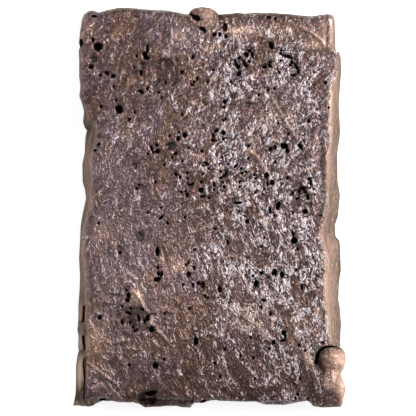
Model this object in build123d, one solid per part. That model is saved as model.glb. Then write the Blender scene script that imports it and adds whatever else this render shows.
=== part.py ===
"""Copper ingot, cast rough in an open mould and lying on its foot.

The foot is the face that lay on the mould's floor. The rough face that froze in
the open air is on top. X runs across the ingot, Y along it and Z up. The origin
is on the floor, at the middle of the whole casting's outline.
"""
from build123d import *
from math import cos, exp, pi, radians, sin
import os

# Overall sizes of the block, in millimetres, without what stands proud of it
foot_length = 147.6
foot_width = 97.8
thickness = 21.0

# The lip is the rounded edge that liquid metal keeps where its surface meets the mould:
# it starts a little under the frozen face and would close a little over it
lip_radius = 3.0
lip_drop = 2.2
lip_overrun = 1.4
lip_turns = (0, 35, 75)

# Slow swells of the frozen face: height, wave length and heading in degrees from X
swells = [
    (0.4, 76.0, 35.0),
    (0.3, 52.0, 100.0),
]

# A long gutter runs beside the right rim: depth, distance from the foot's side, half width
gutter_depth = 0.5
gutter_inset = 10.5
gutter_half_width = 6.0

# How far the foot wanders outside its nominal rectangle, at even stations.
# Left and right run from the bottom end to the top end, the ends from left to right.
foot_out = {
    "left": [-0.2, 1.5, 1.0, 0.9, 0.7, 0.1, 0.4, -0.1, -1.2, -1.5, -1.0, -2.0, -1.4, -0.2, 0.3, 0.3, -1.5],
    "right": [-0.2, 0.2, 0.3, 0.6, 0.4, 0.0, 0.6, -1.3, -0.6, -0.1, -0.6, 0.3, 0.1, 0.4, 0.9, -1.3, -2.2],
    "bottom": [1.0, -1.1, -0.4, 1.2, 0.9, -1.1, -0.7, -0.1, 0.3, 0.0, 0.9],
    "top": [-0.8, 0.8, 1.3, 0.5, -0.7, -0.9, -0.4, -0.6, -0.6, -1.6, -1.5],
}

# How far the rim lies inside the foot at the same stations: the mould's draft
rim_in = {
    "left": [1.9, 4.4, 3.7, 3.4, 3.6, 2.8, 2.3, 1.5, 2.6, 3.7, 3.6, 5.1, 2.0, 1.1, 1.1, 1.1, 1.1],
    "right": [5.0, 5.6, 5.8, 5.2, 5.4, 5.8, 5.7, 6.0, 4.8, 5.0, 4.2, 4.0, 4.0, 3.2, 2.0, 1.3, 1.1],
    "bottom": [1.3] * 11,
    "top": [1.3] * 11,
}

# The frozen face is shaped through even rows this far apart, and follows them this closely
row_spacing = 9.0
face_tolerance = 0.02

# Round craters, where a wide bubble burst. Place: shares of the half width and half
# length from the middle. Then the radius of the mouth and the depth under the face.
craters = [
    (-0.35, 0.68, 4.8, 1.3),
    (-0.78, 0.67, 2.6, 1.2),
]

# The largest deep gas pits, given as the craters are
pits = [
    (-0.85, 0.81, 1.6, 2.2),
    (-0.69, 0.49, 1.5, 2.2),
    (0.12, 0.91, 1.3, 1.6),
    (0.28, 0.77, 1.5, 1.7),
    (0.57, 0.31, 1.8, 2.6),
    (0.69, 0.31, 1.2, 1.8),
    (-0.53, -0.15, 1.8, 1.5),
    (-0.40, -0.22, 1.3, 1.8),
    (0.64, -0.17, 1.4, 2.0),
    (0.52, -0.33, 1.6, 1.9),
    (0.56, -0.66, 1.6, 1.4),
]

# A deep pit narrows towards its floor to this share of its mouth
pit_floor_share = 0.6

# The drops that ran over the bottom right corner, the upper one first: radius, then in
# from the corner's right side and end, and the middle's depth under the face
corner_drops = [
    (5.2, 3.2, 18.0, 4.4),
    (4.8, 2.5, 7.2, 5.0),
    (4.5, 4.9, 4.5, 5.8),
]

# The crease where the upper drop folded over without fusing, and its arc in degrees
crease_radius = 0.9
crease_arc = 130.0
crease_start = 75.0

# The lug that froze on the top end: radius, share of the end from the left, and depth
lug_drops = [
    (3.1, 0.475, 3.2),
    (2.9, 0.51, 3.6),
]

# The toe that stands proud in the bottom left corner: given as the corner's drops are
toe_drops = [
    (2.9, 4.4, 3.7, 1.8),
    (2.6, 4.8, 7.4, 1.7),
]

# The thin flash that ran out under the mould's bottom left corner
flash_length = 2.8
flash_radius = 1.2
flash_tip_radius = 0.3
flash_heading = 187.0

# Hollows broken into the rim: side, share of it, radius, and the middle's depth under
# the face. The notch under the lug, the cavity in the bottom rim, and the left pocket.
rim_breaks = [
    ("top", 0.44, 1.8, 0.3),
    ("bottom", 0.26, 3.2, 0.2),
    ("left", 0.70, 2.2, 0.6),
]

# Ledges where the bottom rim stopped short: the middle as a share of the end from the
# left, the length along it, how far in they reach, and the drop under the face
ledges = [
    (0.33, 20.0, 3.4, 4.4),
    (0.79, 15.0, 1.6, 3.8),
]

# The corner of a ledge is rounded by this share of how far in it reaches
ledge_corner_share = 0.8

# A slanted face cuts the top right corner: how far from the corner it starts along the
# end and along the side, and its slope in degrees
slant_on_end = 18.6
slant_on_side = 14.0
slant_slope = 21.0


def between(values, share):
    """Smooth value at a share, 0 to 1, of evenly spaced stations (a Catmull-Rom curve)."""
    place = share * (len(values) - 1)
    k = min(int(place), len(values) - 2)
    t = place - k
    before = values[max(k - 1, 0)]
    start = values[k]
    end = values[k + 1]
    after = values[min(k + 2, len(values) - 1)]
    bend = 2 * before - 5 * start + 4 * end - after
    twist = 3 * (start - end) + after - before
    return start + t / 2 * (end - before + t * (bend + t * twist))


def corners(out):
    """The lowest and highest x and y that the four sides run between, as corner points."""
    left, right = out["left"], out["right"]
    bottom, top = out["bottom"], out["top"]
    half_width = foot_width / 2
    half_length = foot_length / 2
    return {
        "bottom left": (-half_width - left[0], -half_length - bottom[0]),
        "bottom right": (half_width + right[0], -half_length - bottom[-1]),
        "top left": (-half_width - left[-1], half_length + top[0]),
        "top right": (half_width + right[-1], half_length + top[-1]),
    }


def side_point(out, side, share):
    """Point (x, y) of an outline that wanders outside the nominal rectangle by out."""
    corner = corners(out)
    if side in ("left", "right"):
        low = corner["bottom " + side][1]
        high = corner["top " + side][1]
        reach = foot_width / 2 + between(out[side], share)
        return (reach if side == "right" else -reach, low + share * (high - low))
    low = corner[side + " left"][0]
    high = corner[side + " right"][0]
    reach = foot_length / 2 + between(out[side], share)
    return (low + share * (high - low), reach if side == "top" else -reach)


def outline(out, height):
    """Closed outline at a height: one smooth edge to each side, meeting at the corners."""
    edges = []
    for side in ("bottom", "right", "top", "left"):
        last = len(out[side]) - 1
        points = [Vector(*side_point(out, side, station / last), height) for station in range(last + 1)]
        edges.append(Edge.make_spline(points))
    return Wire(edges)


def body():
    """The cast body: outlines lofted from the foot up the drafted walls and over the lip."""
    sections = [outline(foot_out, 0)]
    for turn in lip_turns:
        inset = lip_radius * (1 - cos(radians(turn)))
        height = thickness - lip_drop + (lip_drop + lip_overrun) * sin(radians(turn))
        out = {side: [value - inset for value in values] for side, values in rim_out.items()}
        sections.append(outline(out, height))
    return Solid.make_loft(sections, ruled=True)


def face_height(x, y):
    """Height of the frozen face above the floor."""
    height = thickness
    for swell_height, wave_length, heading in swells:
        travel = x * cos(radians(heading)) + y * sin(radians(heading))
        height += swell_height * sin(2 * pi * travel / wave_length)
    from_right = foot_width / 2 - x
    gutter_share = exp(-(((from_right - gutter_inset) / gutter_half_width) ** 2))
    return height - gutter_depth * gutter_share


def above_face():
    """The air over the frozen face: a free-form face through even rows, raised into a solid."""
    columns = round(foot_width / row_spacing)
    rows = round(foot_length / row_spacing)
    grid = []
    for row in range(-1, rows + 2):
        y = (row / rows - 0.5) * foot_length
        xs = [(column / columns - 0.5) * foot_width for column in range(-1, columns + 2)]
        grid.append([(x, y, face_height(x, y)) for x in xs])
    face = Face.make_surface_from_array_of_points(grid, tol=face_tolerance)
    return Solid.extrude(face, (0, 0, thickness))


def drops():
    """The drops over the bottom right corner."""
    corner_x, corner_y = corners(foot_out)["bottom right"]
    balls = []
    for radius, from_right, from_end, depth in corner_drops:
        place = Pos(corner_x - from_right, corner_y + from_end, thickness - depth)
        balls.append(place * Sphere(radius))
    return balls


def crease():
    """The groove round the upper drop's inner side: a small circle turned about the drop."""
    corner_x, corner_y = corners(foot_out)["bottom right"]
    radius, from_right, from_end, _ = corner_drops[0]
    section = Plane.XZ * Pos(radius + crease_radius, 0) * Circle(crease_radius)
    groove = revolve(section, Axis.Z, crease_arc)
    place = Pos(corner_x - from_right, corner_y + from_end, thickness)
    return place * Rot(0, 0, crease_start) * groove


def lug():
    """The lug on the top end, half sunk into the wall."""
    balls = []
    for radius, share, depth in lug_drops:
        x, y = side_point(rim_out, "top", share)
        balls.append(Pos(x, y, thickness - depth) * Sphere(radius))
    return balls


def toe():
    """The low mound in the bottom left corner."""
    corner_x, corner_y = corners(foot_out)["bottom left"]
    balls = []
    for radius, from_left, from_end, depth in toe_drops:
        place = Pos(corner_x + from_left, corner_y + from_end, thickness - depth)
        balls.append(place * Sphere(radius))
    return balls


def flash():
    """The tapered spike of flash at the foot of the bottom left corner."""
    corner_x, corner_y = corners(foot_out)["bottom left"]
    spike = Cone(flash_radius, flash_tip_radius, 2 * flash_length)
    heading = Rot(0, 0, flash_heading) * Rot(0, 90, 0)
    return Pos(corner_x, corner_y + flash_radius / 2, flash_radius) * heading * spike


def rim_hollows():
    """The hollows broken into the rim, each at its share of its side."""
    balls = []
    for side, share, radius, depth in rim_breaks:
        x, y = side_point(rim_out, side, share)
        balls.append(Pos(x, y, thickness - depth) * Sphere(radius))
    return balls


def rim_ledges():
    """The air over the ledges of the bottom rim: flat slots with round corners."""
    slots = []
    for share, length, reach, drop in ledges:
        x, y = side_point(rim_out, "bottom", share)
        slot = RectangleRounded(length, 2 * reach, ledge_corner_share * reach)
        slots.append(Pos(x, y, thickness - drop) * extrude(slot, thickness))
    return slots


def corner_slant():
    """The air over the slanted corner: a block on a plane that falls towards the corner."""
    corner_x, corner_y = corners(foot_out)["top right"]
    on_end = Vector(corner_x - slant_on_end, corner_y, thickness)
    on_side = Vector(corner_x, corner_y - slant_on_side, thickness)
    edge = (on_side - on_end).normalized()
    towards_corner = edge.cross(Vector(0, 0, -1))
    up = Vector(0, 0, 1) * cos(radians(slant_slope)) + towards_corner * sin(radians(slant_slope))
    plane = Plane(origin=(on_end + on_side) / 2, x_dir=edge, z_dir=up)
    size = 2 * (slant_on_end + slant_on_side)
    return plane * Box(size, size, thickness, align=(Align.CENTER, Align.MIN, Align.MIN))


def burst_craters():
    """The craters, each the part of a wide bubble that broke through the frozen face."""
    bubbles = []
    for across, along, mouth_radius, depth in craters:
        x = across * foot_width / 2
        y = along * foot_length / 2
        radius = (mouth_radius**2 + depth**2) / (2 * depth)
        bubbles.append(Pos(x, y, face_height(x, y) + radius - depth) * Sphere(radius))
    return bubbles


def gas_pits():
    """The deep pits, tapered from the mouth to the floor and open well above the face."""
    tapers = []
    for across, along, mouth_radius, depth in pits:
        x = across * foot_width / 2
        y = along * foot_length / 2
        floor_radius = pit_floor_share * mouth_radius
        top_radius = 2 * mouth_radius - floor_radius
        taper = Cone(floor_radius, top_radius, 2 * depth)
        tapers.append(Pos(x, y, face_height(x, y)) * taper)
    return tapers


rim_out = {
    side: [out - inset for out, inset in zip(foot_out[side], rim_in[side])]
    for side in foot_out
}


def cast_ingot():
    """The whole casting, with the middle of its outline over the origin."""
    casting = body() - above_face() - rim_ledges() - [corner_slant()]
    casting = casting + drops() + lug() + toe() + [flash()]
    casting = casting - rim_hollows() - [crease()] - burst_craters() - gas_pits()
    bounds = casting.bounding_box()
    middle = (bounds.min + bounds.max) / 2
    return Pos(-middle.X, -middle.Y, 0) * casting


ingot = cast_ingot().solid()
print("outline", ingot.bounding_box().size, "volume in mm3", round(ingot.volume))
os.makedirs("parts", exist_ok=True)
export_step(ingot, "parts/ingot.step")
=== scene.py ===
# %% [markdown]
# # A copper ingot, cast rough in an open mould
#
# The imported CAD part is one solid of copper, about 103 by 150 by 22 mm, lying on the flat
# face that froze against the mould's floor. This lesson dresses it: one closed surface is
# worked out with numpy, carries the folds, craters and gas pits that liquid copper leaves
# when it freezes in the open air, and gets a finish of thin brown and purple oxide.
#
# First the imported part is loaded. The ingot's lengths are in millimetres until its mesh is
# made, because that is how a foundry would measure it. Lamps and floor are in metres.

import bpy
import numpy as np
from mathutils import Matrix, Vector


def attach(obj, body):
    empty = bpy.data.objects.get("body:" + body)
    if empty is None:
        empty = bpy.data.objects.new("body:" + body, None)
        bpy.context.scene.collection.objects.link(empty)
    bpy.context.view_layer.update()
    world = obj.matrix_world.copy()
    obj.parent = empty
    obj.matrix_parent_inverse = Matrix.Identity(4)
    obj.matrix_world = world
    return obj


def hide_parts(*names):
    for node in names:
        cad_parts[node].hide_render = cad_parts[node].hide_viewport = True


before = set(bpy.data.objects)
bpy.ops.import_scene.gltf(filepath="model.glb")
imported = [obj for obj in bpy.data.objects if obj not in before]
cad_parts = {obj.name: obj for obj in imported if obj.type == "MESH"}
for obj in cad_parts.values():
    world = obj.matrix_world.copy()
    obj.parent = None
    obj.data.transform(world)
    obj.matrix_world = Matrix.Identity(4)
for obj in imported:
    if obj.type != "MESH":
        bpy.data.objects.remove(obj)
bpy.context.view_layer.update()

mm_per_metre = 1000

# %% [markdown]
# ## The camera first
#
# The photograph looks straight down on the ingot from far above. With the camera's height
# and the scale at the floor, any pixel of the photograph can be turned into a place on the
# ingot. A point that lies higher is nearer to the lens, so it looks larger, and its real
# place is a little nearer to the middle. Starting with the camera lets every feature be
# placed by where it is seen.

# %% Camera height and scale
camera_height = 1200.0
mm_per_pixel = 0.3778
photo_pixels = 416
middle_column = 209.5
middle_row = 207.5


def from_photo(column, row, height=0.0):
    """Place in mm of a pixel seen at a height: offset * scale * (1 - height / camera height)."""
    scale = mm_per_pixel * (1 - height / camera_height)
    return (column - middle_column) * scale, (middle_row - row) * scale


def to_photo(x, y, height):
    """Pixel at which a point shows: offset / (scale * (1 - height / camera height))."""
    scale = mm_per_pixel * (1 - height / camera_height)
    return middle_column + x / scale, middle_row - y / scale


print("the photograph's first pixel lies at", np.round(from_photo(0, 0), 1).tolist(), "mm")

# %% Camera
sensor_width = 36.0
closest_seen = 0.05
view_width = photo_pixels * mm_per_pixel
lens = bpy.data.cameras.new("lens")
lens.sensor_width = sensor_width
lens.lens = sensor_width * camera_height / view_width
lens.clip_start = closest_seen
camera = bpy.data.objects.new("camera", lens)
aim_x, aim_y = from_photo(photo_pixels / 2, photo_pixels / 2)
camera.location = (aim_x / mm_per_metre, aim_y / mm_per_metre, camera_height / mm_per_metre)
bpy.context.scene.collection.objects.link(camera)
bpy.context.scene.camera = camera
print("lens", round(lens.lens, 1), "mm, view", round(view_width, 1), "mm wide at the floor")

# %% [markdown]
# ## The outline
#
# Seen from above, the ingot is a rectangle whose four sides wander. Each side is read off
# the photograph as a few pixels. The foot is the outline at the floor, and the rim is the
# edge of the rough face, which lies further in where the mould's wall slopes. Two drawn
# curves could do the same, but a list of points can be checked against the photograph.

# %% Foot: the four sides of the outline on the floor, as (column, row) pixels
foot_left = np.array([
    (73.2, 405.5), (74.6, 399), (75.6, 393), (76, 384), (76, 366), (77.5, 355), (78.8, 351),
    (78, 346), (78.4, 336), (77.4, 330), (78.2, 320), (78.3, 306), (79.4, 292), (80, 277),
    (79, 258), (80, 240), (80.7, 225), (82.3, 215), (84.5, 205), (86, 198), (85, 190),
    (82.6, 182), (82.3, 164), (84.6, 153), (85.4, 137), (87, 130), (85, 128.5), (82.9, 122),
    (84, 112), (83.2, 108), (79.8, 97), (80.8, 86), (79.2, 70), (79.4, 50), (80.2, 47.5),
    (79, 43), (79.8, 35), (80.8, 27), (82, 20), (84.4, 14.8),
])
foot_right = np.array([
    (338.5, 405.5), (339.4, 396), (339.6, 350), (340.4, 344), (340.6, 331), (341.2, 325),
    (339.8, 307), (338.4, 300), (339, 282), (341, 270), (340, 246), (339.4, 240.5),
    (335.6, 236.5), (335, 225), (338, 216), (340, 195), (337.6, 180), (337.3, 153),
    (339.8, 137), (340.2, 131), (338.8, 105), (340.3, 83), (341.3, 72), (341, 58),
    (338.8, 51.6), (336, 52.6), (335.4, 49), (335.5, 41), (335, 28), (334.6, 19), (333, 16),
])
foot_bottom = np.array([
    (73.2, 405.5), (79, 405.2), (88, 406.2), (92, 405.6), (98.5, 401), (110, 399.2),
    (118, 401.5), (130, 402.6), (137, 400.3), (141, 404.6), (144.5, 406.4), (158, 406),
    (180, 405), (189.5, 406.5), (194, 403), (196.5, 400.4), (200.5, 403), (205, 402),
    (211, 399.1), (218, 399.3), (221, 400.5), (259.5, 401.6), (263, 403.6), (280, 404.4),
    (293, 402.8), (300, 400.3), (308.5, 400.1), (316, 405.4), (330, 406.2), (338.5, 405.2),
])
foot_top = np.array([
    (84.4, 14.8), (88, 12.1), (93, 11), (99, 13), (106, 11), (118, 8.6), (130, 8.4),
    (148, 10.2), (170, 11.5), (189, 14.6), (192, 14.4), (220, 14.4), (238, 12.9),
    (247, 14.5), (270, 13.2), (290, 14.3), (302, 15.8), (311, 17), (320, 15.3),
    (329, 14.4), (333, 16),
])
print("foot:", len(foot_left) + len(foot_right) + len(foot_bottom) + len(foot_top), "points")

# %% Rim: the edge of the rough face, side by side as the foot
rim_left = np.array([
    (83.6, 405.6), (83, 397), (84, 388), (86, 380), (84.6, 366), (86, 350), (84.5, 330),
    (86, 305), (85, 270), (82, 254), (81.6, 240), (84, 224), (88, 211), (90.5, 196), (92, 185),
    (90.4, 160), (93, 150), (97, 141), (97.5, 131), (95, 124), (90, 121), (88.4, 118),
    (85.5, 108), (82, 101), (80.2, 96), (81, 86), (79.6, 70), (79.7, 50), (80.6, 47.5),
    (79.4, 43), (80.2, 35), (81.2, 27), (82.4, 20), (84.4, 14.8),
])
rim_right = np.array([
    (341, 407), (343.2, 402), (344.2, 396), (345.8, 389), (343.6, 381.5), (340.6, 374),
    (344, 368.5), (346, 360), (344.8, 351.5), (340.8, 347.4), (331, 345.5), (329.4, 338),
    (328.4, 318), (326.4, 300), (325.4, 282), (328, 262), (323.6, 247), (321.6, 235),
    (325, 220), (327.8, 205), (327, 180), (328, 163), (330.4, 145), (332, 130),
    (330.4, 110), (332, 96), (335.6, 80), (338.4, 66), (338.2, 55), (335, 49),
    (334.4, 41), (334, 28), (333.6, 20), (332.4, 16),
])
rim_bottom = np.array([
    (83.6, 405.6), (88, 406.8), (93, 405.8), (98.5, 401), (110, 399.2), (118, 401.5),
    (130, 402.7), (137, 400.3), (141, 405), (144.5, 407.4), (158, 406.6), (180, 405),
    (189.5, 408), (194, 403), (196.5, 400.4), (200.5, 403.3), (205, 402), (211, 399),
    (218, 399.3), (221, 400.5), (259.5, 401.7), (263, 404.2), (280, 404.9), (293, 403),
    (300, 400.2), (308.5, 400), (313, 406), (322, 407.5), (341, 407),
])
rim_top = np.array([
    (84.4, 14.8), (88, 12), (93, 11), (99, 13), (106, 11), (118, 8.6), (130, 8.3),
    (148, 10.2), (170, 11.5), (188, 15), (190.4, 10.4), (194, 8.2), (202, 6.8), (211, 8.2),
    (216, 11.4), (218.8, 15), (238, 12.9), (247, 14.5), (270, 13.2), (290, 14.3),
    (302, 15.8), (311, 17), (320, 15.3), (328, 14.3), (332.4, 16),
])
print("rim:", len(rim_left) + len(rim_right) + len(rim_bottom) + len(rim_top), "points")

# %% [markdown]
# ## A grid over the rough face
#
# The rough face could be sculpted by hand, or displaced by a modifier. Here it is a grid
# whose two parameters run across and along the ingot, so that each feature can be written
# as a height at a place. A Coons patch stretches the grid between the four sides of the
# rim, which makes its border follow the outline exactly.

# %% Even steps along a side
def resample(points, count):
    """Points at even steps of path length: each coordinate is interpolated over the length."""
    steps = np.hypot(*np.diff(points, axis=0).T)
    length = np.concatenate([[0], np.cumsum(steps)])
    even = np.linspace(0, length[-1], count)
    return np.stack([np.interp(even, length, points[:, axis]) for axis in (0, 1)], axis=1)


across_count = 236
along_count = 344
rim_sides = [
    resample(side, count)
    for side, count in (
        (rim_bottom, across_count),
        (rim_right, along_count),
        (rim_top, across_count),
        (rim_left, along_count),
    )
]
print("points on each side:", [len(side) for side in rim_sides])


# %% A patch between four sides
def coons_patch(bottom, right, top, left):
    """Blend of four sides: across blend + along blend - the blend of the four corners."""
    s = np.linspace(0, 1, len(bottom))[None, :, None]
    t = np.linspace(0, 1, len(left))[:, None, None]
    along = (1 - t) * bottom[None] + t * top[None]
    across = (1 - s) * left[:, None] + s * right[:, None]
    low = (1 - s) * bottom[0] + s * bottom[-1]
    high = (1 - s) * top[0] + s * top[-1]
    return along + across - (1 - t) * low - t * high


grid = coons_patch(*rim_sides)
column, row = grid[..., 0], grid[..., 1]
spacing = mm_per_pixel * float(np.ptp(column[0])) / (across_count - 1)
print("grid", grid.shape, "with a point every", round(spacing, 2), "mm")

# %% [markdown]
# ## Noise
#
# Freezing metal is irregular at every size. Gradient noise gives smooth random hills, and
# the same seed gives the same hills on each run. It is turned and stretched into streaks,
# because the skin of the ingot wrinkled one way while the metal under it shrank.

# %% Gradient noise
column_step, row_step, seed_step = 127.1, 311.7, 74.7
scatter = 43758.5453
noise_gain = 1.4


def noise(x, y, seed):
    """At each corner of a unit cell a random direction dotted with the offset, then blended."""
    cell_x = np.floor(x)
    cell_y = np.floor(y)
    part_x = x - cell_x
    part_y = y - cell_y

    def corner(step_x, step_y):
        """Cosine and sine of the corner's angle times the offset. Angle: part of a wild sine."""
        code = (cell_x + step_x) * column_step + (cell_y + step_y) * row_step + seed * seed_step
        angle = 2 * np.pi * np.modf(np.abs(np.sin(code)) * scatter)[0]
        return np.cos(angle) * (part_x - step_x) + np.sin(angle) * (part_y - step_y)

    fade_x = part_x**3 * (part_x * (6 * part_x - 15) + 10)
    fade_y = part_y**3 * (part_y * (6 * part_y - 15) + 10)
    low = corner(0, 0) * (1 - fade_x) + corner(1, 0) * fade_x
    high = corner(0, 1) * (1 - fade_x) + corner(1, 1) * fade_x
    return noise_gain * (low * (1 - fade_y) + high * fade_y)


def streaks(x, y, heading, length, width, seed):
    """Noise whose hills are long one way: the axes are turned, then divided by the two sizes."""
    turn = np.radians(heading)
    along = x * np.cos(turn) + y * np.sin(turn)
    across = y * np.cos(turn) - x * np.sin(turn)
    return noise(along / length, across / width, seed)


def smooth_step(low, high, value):
    """0 below low and 1 above high, with t * t * (3 - 2 t) between them."""
    t = np.clip((value - low) / (high - low), 0, 1)
    return t * t * (3 - 2 * t)


print("noise spreads by", round(float(noise(column / 9, row / 9, 1).std()), 2))

# %% [markdown]
# ## The broad shape of the face
#
# Slow swells run over the whole face, as in the CAD part. The rim is rounded where liquid
# metal kept its skin: the face drops towards the wall over a few millimetres, and further
# in at the bottom end. Both are plain formulas of the place, so no sculpting is needed.

# %% Slow swells, in mm
face_level = 20.9
swells = [
    # height, wave length, heading in degrees from x
    (0.35, 76.0, 35.0),
    (0.28, 52.0, 100.0),
]
x, y = from_photo(column, row, face_level)
height = np.full(x.shape, face_level)
for swell, wave_length, heading in swells:
    travel = x * np.cos(np.radians(heading)) + y * np.sin(np.radians(heading))
    height += swell * np.sin(2 * np.pi * travel / wave_length)
print("face between", round(float(height.min()), 1), "and", round(float(height.max()), 1), "mm")

# %% The rounded lip
lip = {
    # side: how far in from the rim it starts, and how far it drops, in mm
    "left": (3.2, 2.0),
    "right": (1.6, 1.6),
    "bottom": (6.5, 2.1),
    "top": (2.6, 2.0),
}
edge_distance = {
    "left": (column - column[:, :1]) * mm_per_pixel,
    "right": (column[:, -1:] - column) * mm_per_pixel,
    "bottom": (row[:1] - row) * mm_per_pixel,
    "top": (row - row[-1:]) * mm_per_pixel,
}
for side, (reach, drop) in lip.items():
    share = np.clip(1 - edge_distance[side] / reach, 0, 1)
    height -= drop * (1 - np.sqrt(1 - share**2))
print("lowest at the rim", round(float(height.min()), 1), "mm")

# %% [markdown]
# ## Where the skin is smooth and where it is crinkled
#
# The upper left of the face froze quietly and is nearly smooth. Towards the right the skin
# is finely crinkled. A share from 0 to 1 says how crinkled each place is: it rises from
# left to right, and round patches take it down again. Above the middle the streaks lean
# one way and below it the other, which a second share says.

# %% Share of crinkle
least_crinkle = 0.25
smooth_up_to, crinkled_from = 150, 250
wander_reach, wander_length = 14, 40
quiet_patches = [
    # column, row, half width, half height, how quiet
    (130, 26, 60, 24, 0.8), (100, 90, 26, 26, 0.6), (262, 43, 14, 12, 0.7),
    (275, 18, 44, 9, 0.75), (318, 50, 20, 14, 0.5), (332, 60, 8, 9, 0.9),
    (300, 34, 20, 10, 0.4), (262, 76, 16, 10, 0.4), (118, 375, 34, 14, 0.6),
    (250, 392, 60, 10, 0.6), (170, 390, 40, 12, 0.5), (92, 395, 12, 14, 1.0),
    (334, 358, 14, 12, 1.0), (339, 390, 8, 16, 0.8), (330, 32, 8, 20, 1.0),
    (205, 13, 16, 8, 1.0), (188, 22, 16, 8, 0.7), (92, 240, 12, 60, 0.5),
    (240, 330, 22, 16, 0.3), (246, 156, 12, 12, 0.5), (150, 40, 50, 30, 0.6),
    (258, 158, 7, 9, 0.8), (133, 318, 15, 14, 0.7), (105, 360, 26, 20, 0.8),
    (115, 390, 30, 12, 0.6), (338, 372, 9, 34, 0.9), (296, 112, 5, 14, 0.6),
    (258, 100, 12, 14, 0.5), (320, 140, 5, 40, 0.5), (253, 365, 22, 14, 0.4),
    (186, 365, 20, 16, 0.4), (280, 108, 12, 12, 0.4), (316, 130, 6, 16, 0.6),
    (322, 155, 5, 22, 0.5),
]
wander = wander_reach * noise(column / wander_length, row / wander_length, 3)
rise = smooth_step(smooth_up_to, crinkled_from, column + wander)
crinkle = least_crinkle + (1 - least_crinkle) * rise
for patch_column, patch_row, half_width, half_height, quiet in quiet_patches:
    reach = ((column - patch_column) / half_width) ** 2 + ((row - patch_row) / half_height) ** 2
    crinkle *= 1 - quiet * np.exp(-reach)
print("mean share of crinkle", round(float(crinkle.mean()), 2))

# %% Share of lean
turn_column, turn_row = 210, 215
turn_slope, turn_blend = 0.35, 50
lean = smooth_step(-1, 1, (row - turn_row + turn_slope * (column - turn_column)) / turn_blend)
print("mean share of lean", round(float(lean.mean()), 2))

# %% Folds and crinkles
warp_reach, warp_length = 6, 24
plate_width, plate_length = 17, 21
quiet_fold, crinkled_fold = 0.14, 0.26
crinkle_height = 0.3
warp_column = column + warp_reach * noise(column / warp_length, row / warp_length, 8)
warp_row = row + warp_reach * noise(column / warp_length, row / warp_length, 9)


def two_way(headings, length, width, seeds):
    """Streaks of the first heading * (1 - lean) + streaks of the second heading * lean."""
    first = streaks(warp_column, -warp_row, headings[0], length, width, seeds[0])
    second = streaks(warp_column, -warp_row, headings[1], length, width, seeds[1])
    return first * (1 - lean) + second * lean


fold = two_way((60, 114), 34, 13, (11, 12))
fine = two_way((68, 104), 16, 6, (21, 22))
plates = noise(warp_column / plate_width, warp_row / plate_length, 31)
height += (quiet_fold + crinkled_fold * crinkle) * fold
height += crinkle * (
    crinkle_height * np.abs(plates) + crinkle_height * np.abs(fine) - crinkle_height / 2
)
print("crinkled face up to", round(float(height.max()), 1), "mm")
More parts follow.
